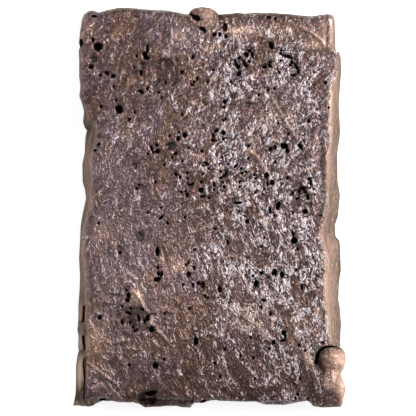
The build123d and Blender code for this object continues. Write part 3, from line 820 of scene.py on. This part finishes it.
# %% Sink the pits into the face
smallest_pit = 2.7
pit_floor, pit_mouth = 0.66, 1.1
depth_per_width, least_depth = 0.75, 0.5
paint_reach = 1.5


def sink(pits, rough, deepest, seed):
    """Pushes pits into the face. Depth: share of the narrow size + the least, up to deepest."""
    inside = np.zeros(column.shape)
    for number, (pit_column, pit_row, width, length, turn) in enumerate(pits):
        width = max(width, smallest_pit)
        length = max(length, smallest_pit)
        share = ellipse_share(pit_column, pit_row, width, length, turn, rough, seed + number)
        depth = min(deepest, depth_per_width * min(width, length) * mm_per_pixel + least_depth)
        height[...] -= depth * (1 - smooth_step(pit_floor, pit_mouth, share))
        inside = np.maximum(inside, np.clip(paint_reach - share, 0, 1))
    return inside


in_black = sink(black_pits, rough=0.32, deepest=2.6, seed=100)
in_grey = sink(grey_pits, rough=0.12, deepest=0.8, seed=500)
in_red = sink(red_pits, rough=0.15, deepest=1.6, seed=600)
print("pitted face down to", round(float(height.min()), 1), "mm")

# %% [markdown]
# ## The corner drop, the lug and the toe
#
# At the lower right, liquid copper ran over the rim in drops that froze one on the other,
# and the upper one folded over with an arc-shaped crease. The lug on the top end and the
# toe at the lower left are smaller drops. Metaballs could make them, but they would be
# pieces of their own. Here each is a dome, and the face takes the higher of dome and
# surface with a soft blend, so everything stays one skin.

# %% A dome, and two heights melted together
outside_fall = 3


def dome(place_column, place_row, radius, middle_height):
    """A ball's upper half: middle + root of radius^2 - distance^2, then a steep fall outside."""
    away = mm_per_pixel * np.hypot(column - place_column, row - place_row)
    inside = np.sqrt(np.clip(radius**2 - away**2, 0, None))
    outside = np.clip(away - radius, 0, None)
    return middle_height + inside - outside_fall * outside, away / radius


def melt(upper, lower, softness):
    """Higher of two heights: lower + half of (gap + the root of gap^2 + softness^2)."""
    gap = upper - lower
    return lower + (gap + np.sqrt(gap**2 + softness**2)) / 2


print("equal heights melt to", melt(0.0, 0.0, 1.3), "mm above both")

# %% The corner sinks first, more in its upper part
hollow_depth, extra_depth = 2.2, 2.8
hollow_columns, hollow_rows = (314, 322), (346, 352)
extra_rows = (366, 380)
corner_hollow = smooth_step(*hollow_columns, column) * smooth_step(*hollow_rows, row)
height -= (hollow_depth + extra_depth * (1 - smooth_step(*extra_rows, row))) * corner_hollow
print("hollow over", round(float(corner_hollow.mean()) * 100, 1), "% of the face")

# %% The drops
softness = 1.3
first_bead_column = 150
bead_inside, bead_outside = 0.85, 1.1
drops = [
    # column, row, radius in mm, height of the middle in mm
    (331, 360, 5.6, 15.5), (336, 388, 3.8, 16.4), (331, 373, 4.6, 15.4),
    (327, 355, 3.8, 16.8), (327, 384, 6.6, 13.8), (321, 396, 5.6, 14.4),
    (316, 388, 5.0, 14.6), (202, 16.5, 3.8, 17.2), (210, 17, 3.6, 17.2),
    (91, 391, 3.4, 17.6), (90, 399, 3.2, 17.2), (91, 384, 2.8, 17.8),
]
broad_lump, small_lump = 0.5, 0.2
lumps = broad_lump * noise(column / 8, row / 8, 91)
lumps = lumps + small_lump * noise(column / 3.2, row / 4, 92)
bead = np.zeros(column.shape)
for drop_column, drop_row, radius, middle_height in drops:
    ball, share = dome(drop_column, drop_row, radius, middle_height)
    height = melt(ball + lumps, height, softness)
    if drop_column > first_bead_column:
        bead = np.maximum(bead, 1 - smooth_step(bead_inside, bead_outside, share))
print(len(drops), "drops, smooth over", round(float(bead.mean()) * 100, 1), "% of the face")

# %% Between the drops and the face the metal stays rough
rough_column, rough_row = 322, 388
rough_half_width, rough_half_height = 8, 13
u = (column - rough_column) / rough_half_width
v = (row - rough_row) / rough_half_height
bead *= 1 - np.exp(-(u**2) - v**2)
print("now smooth over", round(float(bead.mean()) * 100, 1), "% of the face")

# %% The crease where the upper drop folded over
crease_depth = 3.0
crease_half_width, crease_swell = 1.1, 0.7
swell_column, swell_half_width = 316.5, 3
crease_shade = 0.95
crease_path = [
    (338, 345.6), (331, 346.4), (324, 347.6), (319.6, 351), (316.6, 357), (315.6, 363),
]
crease_width = crease_half_width + crease_swell * bell(column - swell_column, swell_half_width)
crease = np.exp(-((path_distance(crease_path) / crease_width) ** 4))
height -= crease_depth * crease
# the crease is also painted black, as shade
in_black = np.maximum(in_black, crease_shade * crease)
print("crease", crease_depth, "mm deep")

# %% [markdown]
# ## The wall
#
# The mould's wall slopes, and the metal that froze against it rippled. The wall could be
# an extrusion with a displacement. Here rings of points run from the rim down to the foot,
# each a blend of the two outlines, pushed in and out by noise. The rim keeps the height
# that the face has there, so the two join without a seam.

# %% Foot and rim as closed loops
foot_sides = [
    resample(side, count)
    for side, count in (
        (foot_bottom, across_count),
        (foot_right, along_count),
        (foot_top, across_count),
        (foot_left, along_count),
    )
]


def border(sides):
    """The four sides joined into one loop: bottom, right, then top and left turned round."""
    bottom, right, top, left = sides
    return np.concatenate([bottom[:-1], right[:-1], top[:0:-1], left[:0:-1]])


def around(values):
    """The grid's border values in the order of border(): bottom, right, top, left."""
    return np.concatenate([values[0, :-1], values[:-1, -1], values[-1, :0:-1], values[:0:-1, 0]])


rim_loop = border(rim_sides)
foot_loop = border(foot_sides)
loop_column, loop_row = rim_loop.T
rim_z = around(height)
rim_x, rim_y = from_photo(loop_column, loop_row, rim_z)
foot_x, foot_y = from_photo(foot_loop[:, 0], foot_loop[:, 1], 0.0)
print(len(rim_loop), "points round the ingot")

# %% The wall without the flash, which only its lowest ring reaches
wall_rows = 14
flash_power = 9
flash_column = 80.5
corner_column, corner_row = 100, 345
low_corner = (foot_loop[:, 0] < corner_column) & (foot_loop[:, 1] > corner_row)
upright_loop = foot_loop.copy()
upright_loop[low_corner, 0] = np.maximum(foot_loop[low_corner, 0], flash_column)
upright_x, upright_y = from_photo(upright_loop[:, 0], upright_loop[:, 1], 0.0)
down = np.linspace(0, 1, wall_rows + 1)[1:, None]
flash_share = down**flash_power
wall_x = rim_x + (upright_x - rim_x) * down + (foot_x - upright_x) * flash_share
wall_y = rim_y + (upright_y - rim_y) * down + (foot_y - upright_y) * flash_share
print("flash", round(float(np.hypot(foot_x - upright_x, foot_y - upright_y).max()), 1), "mm wide")

# %% Ripples, largest half-way down
ripple_height = 0.45
ripples = [
    # share of the height, length along the wall in mm, waves down the wall, seed
    (1, 9, 2.5, 71),
    (0.5, 3, 4, 72),
    (1.1, 16, 6, 73),
]
perimeter = np.concatenate([[0], np.cumsum(np.hypot(np.diff(foot_x), np.diff(foot_y)))])
belly = np.sin(np.pi * down)
ripple = sum(
    share * noise(perimeter[None] / length, down * waves, seed)
    for share, length, waves, seed in ripples
)
away = np.hypot(foot_x, foot_y)
wall_x = wall_x + belly * ripple_height * ripple * foot_x / away
wall_y = wall_y + belly * ripple_height * ripple * foot_y / away
print("ripples up to", round(float(np.abs(belly * ripple_height * ripple).max()), 1), "mm")

# %% The wall tucks in under the corner's drops and under the lug
tuck_under_drops, tuck_under_lug = 5.0, 2.6
tuck_starts, tuck_full = 0.03, 0.35
drops_from_column, drops_from_row = (330, 334), (345, 351)
lug_from, lug_until, end_until_row = (188, 192), (216, 220), (20, 40)
under_drops = smooth_step(*drops_from_column, loop_column) * smooth_step(*drops_from_row, loop_row)
under_lug = smooth_step(*lug_from, loop_column) * (1 - smooth_step(*lug_until, loop_column))
under_lug = under_lug * (1 - smooth_step(*end_until_row, loop_row))
tuck = (1 - down) * smooth_step(tuck_starts, tuck_full, down)
wall_x = wall_x - tuck_under_drops * under_drops * tuck
wall_y = wall_y - tuck_under_lug * under_lug * tuck
print("tucked in by up to", round(float((tuck_under_drops * under_drops * tuck).max()), 1), "mm")

# %% Shelves part-way down the left wall, with a crevice behind each
left_side_ends = 100
shelf_inside, shelf_outside = 0.75, 1.1
shelves = [
    # row in the photograph, half height in pixels
    (314, 9), (343, 8), (374, 17),
]
shelf_share = np.zeros(loop_row.shape)
for shelf_row, half_height in shelves:
    reach = np.abs(loop_row - shelf_row) / half_height
    near = 1 - smooth_step(shelf_inside, shelf_outside, reach)
    shelf_share = np.maximum(shelf_share, near * (loop_column < left_side_ends))
shelf_down = [0, 0.12, 0.27, 0.43, 0.8, 1]
shelf_depth = [0, 0.34, 0.6, 0.4, 0.44, 1]
shelf_fall = np.interp(down, shelf_down, shelf_depth)
fall = down * (1 - shelf_share) + shelf_fall * shelf_share
wall_z = rim_z * (1 - fall)
print(len(shelves), "shelves", round(rim_z.mean() * (1 - shelf_depth[3]), 1), "mm above the floor")

# %% [markdown]
# ## One closed mesh
#
# The grid, the wall's rings, a ring further in under the foot and one point in its middle
# are joined with quads and a fan of triangles. A closed mesh can be weighed, printed and
# cut, and its faces all look outwards because each quad lists its corners the same way
# round. The points are worked out as whole arrays, so nothing loops over them.

# %% Points, now in metres
base_x_share, base_y_share = 0.97, 0.98
face_x, face_y = from_photo(column, row, height)
top_points = np.stack([face_x, face_y, height], axis=-1).reshape(-1, 3)
wall_points = np.stack([wall_x, wall_y, wall_z], axis=-1).reshape(-1, 3)
base_ring = np.stack([foot_x * base_x_share, foot_y * base_y_share, np.zeros(len(foot_x))], axis=-1)
base_middle = np.zeros((1, 3))
points = np.concatenate([top_points, wall_points, base_ring, base_middle]) / mm_per_metre
print(len(points), "points")

# %% Faces
index = np.arange(along_count * across_count).reshape(along_count, across_count)
top_quads = np.stack([index[:-1, :-1], index[:-1, 1:], index[1:, 1:], index[1:, :-1]], axis=-1)
top_quads = top_quads.reshape(-1, 4)
loop_index = around(index)
loop_count = len(loop_index)
ring_index = index.size + np.arange((wall_rows + 1) * loop_count).reshape(wall_rows + 1, loop_count)
rings = np.concatenate([loop_index[None], ring_index])
turned = np.roll(rings, -1, axis=1)
wall_quads = np.stack([rings[:-1], rings[1:], turned[1:], turned[:-1]], axis=-1).reshape(-1, 4)
centre = np.full(loop_count, len(points) - 1)
base_triangles = np.stack([rings[-1], centre, turned[-1]], axis=-1)
faces = top_quads.tolist() + wall_quads.tolist() + base_triangles.tolist()
print(2 * (len(top_quads) + len(wall_quads)) + len(base_triangles), "triangles")

# %% Mesh and object
mesh = bpy.data.meshes.new("ingot_casting")
mesh.from_pydata(points.tolist(), [], faces)
mesh.polygons.foreach_set("use_smooth", np.ones(len(faces), bool))
casting = bpy.data.objects.new("ingot_casting", mesh)
bpy.context.scene.collection.objects.link(casting)
print("mesh:", len(mesh.vertices), "vertices and", len(mesh.polygons), "faces")

# %% [markdown]
# ## Shares stored on the mesh
#
# The finish needs to know where a pit, a lap or a stain is. A painted texture would need
# a UV map. Here each share is a number on every point, a point attribute, which stays on
# the metal from any side and needs no image.

# %% What is stored: the share on the face and the share on the wall
on_wall = {"dark": 0.7, "warm": 1.0, "light": 1.0, "gap": 0.5, "cool": 1.0}
wall_column, wall_row = to_photo(wall_x, wall_y, wall_z)
# the crevice behind each shelf gets painted shade from the dark edges
crevice_starts, crevice_ends = (0.1, 0.2), (0.34, 0.46)
crevice = smooth_step(*crevice_starts, down) * (1 - smooth_step(*crevice_ends, down)) * shelf_share
shares = {
    "pit": (in_black, 0),
    "grey_pit": (in_grey, 0),
    "red_pit": (in_red, 0),
    "crinkle": (crinkle, 0),
    "wall": (0, 1),
    "lap": (lap_line, 0),
    "lean": (lean, 0),
    "groove": (groove_line, 0),
    "bead": (bead, 0),
    "down": (0, down),
    "edge": (near_edges(column, row), near_edges(wall_column, wall_row) * crevice),
}
for name in stains:
    wall_stain = stain_share(name, wall_column, wall_row) * on_wall[name]
    shares[name] = (stain_share(name, column, row), wall_stain)
print("shares:", ", ".join(shares))

# %% Store them, with 0 under the foot
for name, (face_share, wall_share) in shares.items():
    values = np.zeros(len(points), np.float32)
    values[:column.size] = np.broadcast_to(face_share, column.shape).reshape(-1)
    wall_end = column.size + wall_z.size
    values[column.size:wall_end] = np.broadcast_to(wall_share, wall_z.shape).reshape(-1)
    mesh.attributes.new(name, "FLOAT", "POINT").data.foreach_set("value", values)
print(len(mesh.attributes), "attributes on the mesh")

# %% [markdown]
# ## Shader maths as Python expressions
#
# A finish is a graph of nodes. Adding and joining them one by one hides what they say. A
# small class wraps a node's output, so that 1 - mask or relief * 0.3 adds the Math node
# by itself, and a second class holds one material and adds any other node.

# %% A wire carries a number through the nodes
class Wire:
    """A node's output that takes part in Python maths: each operator adds one Math node."""

    def __init__(self, recipe, socket):
        """Keeps the material it belongs to and the output it stands for."""
        self.recipe = recipe
        self.socket = socket

    def maths(self, operation, first, second):
        """One Math node on two values or wires."""
        return self.recipe.node("ShaderNodeMath", {0: first, 1: second}, operation=operation)

    def __add__(self, other):
        """This + other."""
        return self.maths("ADD", self, other)

    def __radd__(self, other):
        """Other + this."""
        return self.maths("ADD", other, self)

    def __sub__(self, other):
        """This - other."""
        return self.maths("SUBTRACT", self, other)

    def __rsub__(self, other):
        """Other - this."""
        return self.maths("SUBTRACT", other, self)

    def __mul__(self, other):
        """This * other."""
        return self.maths("MULTIPLY", self, other)

    def __rmul__(self, other):
        """Other * this."""
        return self.maths("MULTIPLY", other, self)

    def __abs__(self):
        """This without its sign."""
        return self.maths("ABSOLUTE", self, 0.0)


# %% A recipe is one material
class Recipe:
    """One material: node() adds a node with its settings, then its values and links."""

    def __init__(self, name):
        """An empty node tree of that name."""
        self.material = bpy.data.materials.new(name)
        self.material.use_nodes = True
        self.tree = self.material.node_tree
        self.tree.nodes.clear()

    def node(self, kind, inputs=None, output=0, **settings):
        """Settings are set first, then each input gets its value or its wire."""
        made = self.tree.nodes.new(kind)
        for name, value in settings.items():
            setattr(made, name, value)
        for name, value in (inputs or {}).items():
            if isinstance(value, Wire):
                self.tree.links.new(value.socket, made.inputs[name])
            else:
                made.inputs[name].default_value = value
        return Wire(self, made.outputs[output]) if made.outputs else None

    def mix(self, share, first, second):
        """Colour: first * (1 - share) + second * share. A tuple is red, green and blue."""
        first, second = [(*end, 1) if isinstance(end, tuple) else end for end in (first, second)]
        inputs = {0: share, 6: first, 7: second}
        return self.node("ShaderNodeMix", inputs, output=2, data_type="RGBA")

    def layered(self, colour, layers):
        """Lays each layer's colour over what is there, by its share, one after the other."""
        for share, tint in layers:
            colour = self.mix(share, colour, tint)
        return colour


copper = Recipe("cast_copper")
print("first material:", copper.material.name)

# %% [markdown]
# ## Grain of the skin
#
# Close up, the skin is a relief of fine crests and hollows of 1 to 4 mm, too many to be
# geometry. Noise on the object's own place gives them, in millimetres, so they stay on
# the metal in every view. Folding noise at its middle gives worm-like crests, stretching it
# gives streaks, and both are strongest where the skin is crinkled.

# %% Place on the object, and helpers for grain
place = copper.node("ShaderNodeTexCoord", output="Object")
to_mm = {0: place, 3: float(mm_per_metre)}
place_mm = copper.node("ShaderNodeVectorMath", to_mm, operation="SCALE")


def squeezed(vector, cells_per_mm):
    """Place in cells: vector times three factors."""
    return copper.node("ShaderNodeVectorMath", {0: vector, 1: cells_per_mm}, operation="MULTIPLY")


def stretched(heading, length, width):
    """Place in cells that are long one way: turned by the heading, divided by the sizes."""
    turn = {"Vector": place_mm, "Angle": float(np.radians(-heading))}
    turned_place = copper.node("ShaderNodeVectorRotate", turn, rotation_type="Z_AXIS")
    return squeezed(turned_place, (1 / length, 1 / width, 1 / width))


def grain(vector, detail=2.0, roughness=0.5, distortion=0.0):
    """Noise from 0 to 1 about a half: octaves, each finer and weaker by the roughness."""
    inputs = {
        "Vector": vector,
        "Scale": 1.0,
        "Detail": detail,
        "Roughness": roughness,
        "Distortion": distortion,
    }
    return copper.node("ShaderNodeTexNoise", inputs, noise_dimensions="3D")


def limit(value, low, high):
    """0 at low and 1 at high, with t * t * (3 - 2 t) between them. Low may be the larger."""
    inputs = {"Value": value, "From Min": low, "From Max": high}
    return copper.node("ShaderNodeMapRange", inputs, interpolation_type="SMOOTHSTEP")


print("grain is measured from the object's own origin")

# %% Shares read back from the mesh
stored = {
    name: copper.node("ShaderNodeAttribute", output="Fac", attribute_name=name) for name in shares
}
crinkled = stored["crinkle"]
leaning = stored["lean"]
walled = stored["wall"]
pitted = limit(stored["pit"], 0.42, 0.56)
greyed = limit(stored["grey_pit"], 0.35, 0.7)
reddened = limit(stored["red_pit"], 0.38, 0.6)
print(len(stored), "shares read back")


# %% Grain of the face
def both_ways(first, second, **settings):
    """Grain of the first heading and sizes * (1 - leaning) + of the second * leaning."""
    return (
        grain(stretched(*first), **settings) * (1 - leaning)
        + grain(stretched(*second), **settings) * leaning
    )


streak = both_ways((66, 3.4, 1.9), (100, 3.0, 1.9), detail=2.0, roughness=0.6, distortion=0.9)
plate = both_ways((58, 11, 5.5), (114, 11, 5.5), detail=2.0, roughness=0.5, distortion=0.9)
crack = both_ways((52, 16, 4.0), (110, 16, 4.0), detail=2.0, roughness=0.5, distortion=0.7)
worm = abs(grain(stretched(95, 3.6, 2.3), detail=1.0, distortion=1.0) - 0.5)
worm_fine = abs(grain(stretched(80, 2.0, 1.35), detail=1.0, distortion=0.8) - 0.5)
patches = grain(stretched(60, 14, 8), detail=3.0, roughness=0.6)
patches_small = grain(stretched(80, 4, 3), detail=3.0, roughness=0.6)
pepper = grain(stretched(40, 1.3, 0.9), detail=2.0, roughness=0.7)
print("grain of the face:", len(copper.tree.nodes), "nodes so far")

# %% Relief of the face
smooth_plate = limit(plate, 0.5, 0.6)
vein = limit(abs(plate - 0.49), 0.03, 0.0) * limit(patches, 0.44, 0.56)
valley_line = limit(abs(crack - 0.5), 0.028, 0.0)
worms = worm * 1.2 + worm_fine * 1.1
valley = limit(worms, 0.19, 0.07)
roughened = crinkled * (1 - 0.55 * smooth_plate)
relief = limit(streak, 0.5, 0.72) * 0.36 + worms * (0.05 + 1.05 * roughened)
relief = relief + vein * 0.12 * crinkled - valley_line * 0.15 * crinkled
crest = limit(relief, 0.22 - 0.1 * roughened, 0.5 - 0.2 * roughened)
relief = relief + pepper * 0.16
print("relief of the face:", len(copper.tree.nodes), "nodes so far")

# %% Relief of the wall: courses along it, lumps and grit
courses = grain(squeezed(place_mm, (0.11, 0.11, 0.7)), detail=3.0, roughness=0.65, distortion=0.8)
wall_grit = grain(squeezed(place_mm, (0.7, 0.7, 0.9)), detail=3.0, roughness=0.7)
wall_lumps = grain(squeezed(place_mm, (0.3, 0.3, 0.4)), detail=4.0, roughness=0.6)
wall_relief = courses * 0.4 + wall_lumps * 1.3 + wall_grit * 0.7
relief = relief * (1 - walled) + wall_relief * walled
print("relief of the wall:", len(copper.tree.nodes), "nodes so far")

# %% [markdown]
# ## Colours of the finish
#
# Bare copper is bright orange, but this skin is oxide: brown and purple, and tan where it is
# rubbed. Light and shade are painted in as well: the crests are painted pale as a highlight,
# the valleys, hollows and cracks near black as shade, and the pits black, partly soot and
# partly painted shade. The colours are laid over one another like glazes, each by its own
# share, from the broad patches down to the pits, which come last because their black covers
# everything.

# %% Colours, as linear red, green and blue
brown = (0.145, 0.08, 0.061)
purple = (0.128, 0.088, 0.106)
orange_brown = (0.24, 0.145, 0.1)
tan = (0.36, 0.235, 0.18)
# painted highlight, laid on the crests
painted_highlight = (0.51, 0.445, 0.475)
# painted shade for the valleys, the hollows and the cracks
valley_shade_brown = (0.02, 0.012, 0.011)
hollow_shade_brown = (0.028, 0.016, 0.014)
cool_grey = (0.16, 0.127, 0.15)
plate_brown = (0.085, 0.05, 0.042)
vein_tan = (0.42, 0.27, 0.2)
crack_shade_brown = (0.022, 0.013, 0.011)
groove_grey = (0.05, 0.045, 0.05)
pepper_dark = (0.025, 0.015, 0.013)
pepper_light = (0.34, 0.25, 0.235)
bead_brown = (0.17, 0.09, 0.062)
bead_speckle = (0.55, 0.42, 0.34)
wall_dark = (0.08, 0.05, 0.037)
wall_light = (0.215, 0.135, 0.092)
lump_brown = (0.075, 0.06, 0.05)
grit_dark = (0.04, 0.025, 0.02)
grit_light = (0.38, 0.27, 0.2)
rim_tan = (0.45, 0.28, 0.19)
foot_brown = (0.07, 0.045, 0.035)
# warm oxide, partly painted light
warm_oxide_and_painted_light = (0.38, 0.24, 0.175)
# darker oxide, and painted shade where the dark patches stand for shade
dark_oxide_and_shade = (0.04, 0.02, 0.016)
# painted highlight colour for the light patches
painted_highlight_copper = (0.72, 0.5, 0.39)
pit_grey = (0.046, 0.038, 0.034)
red_oxide = (0.06, 0.006, 0.005)
# pits: black of soot, and painted shade of the deep holes
soot_and_pit_shade = (0.004, 0.0035, 0.0035)
print("the skin runs from brown", brown, "to purple", purple)

# %% The skin of the face
skin = copper.layered(copper.mix(limit(patches, 0.35, 0.65), brown, purple), [
    # share, colour laid over by it
    (limit(patches, 0.44, 0.3) * 0.4, orange_brown),
    (limit(patches_small, 0.5, 0.72) * 0.6, tan),
    # painted highlight: the crests are painted pale
    (crest * 0.85, painted_highlight),
    # painted shade: the valleys between crests and the hollows of the streaks
    (valley * (0.3 + 0.62 * crinkled), valley_shade_brown),
    (limit(streak, 0.47, 0.32) * 0.6, hollow_shade_brown),
    (stored["cool"] * 0.45, cool_grey),
    (smooth_plate * 0.4, plate_brown),
    (vein * 0.7 * crinkled, vein_tan),
    # painted shade along the cracks
    (valley_line * 0.75 * crinkled, crack_shade_brown),
    (stored["groove"] * 0.35, groove_grey),
    (limit(pepper, 0.5, 0.34) * 0.5, pepper_dark),
    (limit(pepper, 0.54, 0.68) * 0.3, pepper_light),
    # tan on the laps: copper rubbed on the raised lines, partly a painted highlight
    (stored["lap"] * 0.6, tan),
    (stored["bead"] * 0.5, bead_brown),
    (limit(pepper, 0.54, 0.62) * stored["bead"] * 0.6, bead_speckle),
])
print("skin:", len(copper.tree.nodes), "nodes so far")

# %% The wall: light at the rim, dark at the foot
wall_skin = copper.layered(copper.mix(limit(courses, 0.4, 0.6), wall_dark, wall_light), [
    (limit(wall_lumps, 0.5, 0.6) * 0.65, lump_brown),
    (limit(wall_grit, 0.47, 0.36) * 0.7, grit_dark),
    (limit(wall_grit, 0.54, 0.66) * 0.6, grit_light),
    (limit(stored["down"], 0.22, 0.0) * 0.6, rim_tan),
    (limit(stored["down"], 0.8, 1.0) * 0.5, foot_brown),
])
print("wall:", len(copper.tree.nodes), "nodes so far")

# %% Stains and pits over both
colour = copper.layered(copper.mix(walled, skin, wall_skin), [
    # warm oxide, and painted light on the left wall and on the drops' lit side
    (stored["warm"] * 0.6, warm_oxide_and_painted_light),
    # darker oxide, and painted shade
    (stored["dark"] * (0.72 - 0.42 * crest), dark_oxide_and_shade),
    # painted highlights
    (stored["light"] * 0.85, painted_highlight_copper),
    (greyed, pit_grey),
    (reddened, red_oxide),
    # pits: soot, and painted shade
    (pitted, soot_and_pit_shade),
])
print("colour:", len(copper.tree.nodes), "nodes so far")

# %% [markdown]
# ## Gloss, and painted shade in the holes
#
# Oxide shines less than metal, and metal less on the rough wall than on the face, so the
# metallic share and the roughness follow the same shares as the colour. A black metal pit
# would still mirror the lamps. So shade is painted in: a pit, a gap or a dark edge, and a
# red pit in part, turns into a second, fully matt black surface, by the factor of a Mix Shader.

# %% Metal and hole
relief_height = 0.001
shine = 0.3
open_share = 1 - pitted
bump = copper.node(
    "ShaderNodeBump",
    {"Height": relief * open_share, "Distance": relief_height, "Strength": 1.0},
)
metallic = 0.85 * open_share * (1 - 0.8 * walled) * (1 - 0.5 * crest)
metal = {
    "Base Color": colour,
    "Metallic": metallic * (1 - 0.4 * stored["bead"]),
    "Roughness": 0.42 + 0.06 * crinkled + 0.4 * walled + 0.16 * stored["bead"],
    "Specular IOR Level": shine,
    "Normal": bump,
}
surface = copper.node("ShaderNodeBsdfPrincipled", metal)
matt_black = {"Base Color": (*soot_and_pit_shade, 1), "Roughness": 1.0, "Specular IOR Level": 0.0}
hole = copper.node("ShaderNodeBsdfPrincipled", matt_black)
# painted shade: pits, gaps, dark edges and part of the red pits turn matt black
light_left = (1 - pitted) * (1 - 0.9 * stored["gap"]) * (1 - stored["edge"]) * (1 - 0.4 * reddened)
both_surfaces = copper.node("ShaderNodeMixShader", {0: light_left, 1: hole, 2: surface})
copper.node("ShaderNodeOutputMaterial", {"Surface": both_surfaces})
mesh.materials.append(copper.material)
print("cast_copper:", len(copper.tree.nodes), "nodes")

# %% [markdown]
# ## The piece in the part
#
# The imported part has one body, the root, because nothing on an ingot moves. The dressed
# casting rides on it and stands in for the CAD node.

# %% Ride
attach(casting, "root")
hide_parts("ingot")
print(casting.name, "rides on the root and replaces the ingot")

# %% [markdown]
# ## The floor
#
# The photograph's ground is white. A white floor lit by the lamps would throw light back
# on the metal and clip. So the floor is a matt grey for the light, and glows only for rays
# that come from the camera, a mirror or glass, while it keeps the ingot's shadow.

# %% Floor
floor_half = 2.0
floor_grey = (0.4, 0.4, 0.4, 1)
floor_glow = 0.82
white = (1, 1, 1, 1)
floor_recipe = Recipe("studio_floor")
seen = floor_recipe.node("ShaderNodeLightPath", output="Is Camera Ray")
seen = seen + floor_recipe.node("ShaderNodeLightPath", output="Is Glossy Ray")
seen = seen + floor_recipe.node("ShaderNodeLightPath", output="Is Transmission Ray")
matt = floor_recipe.node("ShaderNodeBsdfDiffuse", {"Color": floor_grey})
glow = floor_recipe.node("ShaderNodeEmission", {"Color": white, "Strength": floor_glow})
glowing = floor_recipe.node("ShaderNodeAddShader", {0: matt, 1: glow})
both = floor_recipe.node("ShaderNodeMixShader", {0: seen, 1: matt, 2: glowing})
floor_recipe.node("ShaderNodeOutputMaterial", {"Surface": both})
corners = floor_half * np.array([(-1, -1, 0), (1, -1, 0), (1, 1, 0), (-1, 1, 0)])
floor_mesh = bpy.data.meshes.new("floor")
floor_mesh.from_pydata(corners.tolist(), [], [(0, 1, 2, 3)])
floor_mesh.materials.append(floor_recipe.material)
floor = bpy.data.objects.new("floor", floor_mesh)
bpy.context.scene.collection.objects.link(floor)
print("floor", 2 * floor_half, "m wide")

# %% [markdown]
# ## Light
#
# The crests in the photograph shine on their right, upper side, so the main soft box stands
# to the right and a little towards the top end, high up. A lower one grazes the relief, and
# a weak one on the left keeps the far wall readable. A dim grey world fills the rest, at a
# level where a colour renders about as it is written.

# %% World
world_grey = (0.3, 0.3, 0.31, 1)
world = bpy.data.worlds.new("studio")
world.use_nodes = True
world.node_tree.nodes["Background"].inputs["Color"].default_value = world_grey
bpy.context.scene.world = world
print("world colour", world_grey[:3])

# %% Soft boxes
soft_boxes = [
    # name, place in metres, side in metres, watts
    ("key", (0.85, 0.35, 0.85), 0.7, 21.5),
    ("top", (0.5, 0.45, 1.1), 0.5, 6),
    ("side", (1.1, 0.25, 0.3), 0.4, 9),
    ("fill", (-1.0, 0.1, 0.5), 0.8, 6),
]
for name, lamp_place, size, watts in soft_boxes:
    lamp = bpy.data.lights.new(name, "AREA")
    lamp.shape = "SQUARE"
    lamp.size = size
    lamp.energy = watts
    holder = bpy.data.objects.new(name, lamp)
    holder.location = lamp_place
    towards_ingot = -np.array(lamp_place) / np.linalg.norm(lamp_place)
    holder.rotation_euler = Vector(towards_ingot).to_track_quat("-Z", "Y").to_euler()
    bpy.context.scene.collection.objects.link(holder)
    print("soft box", name, watts, "W")

bpy.context.scene.view_settings.view_transform = "Standard"
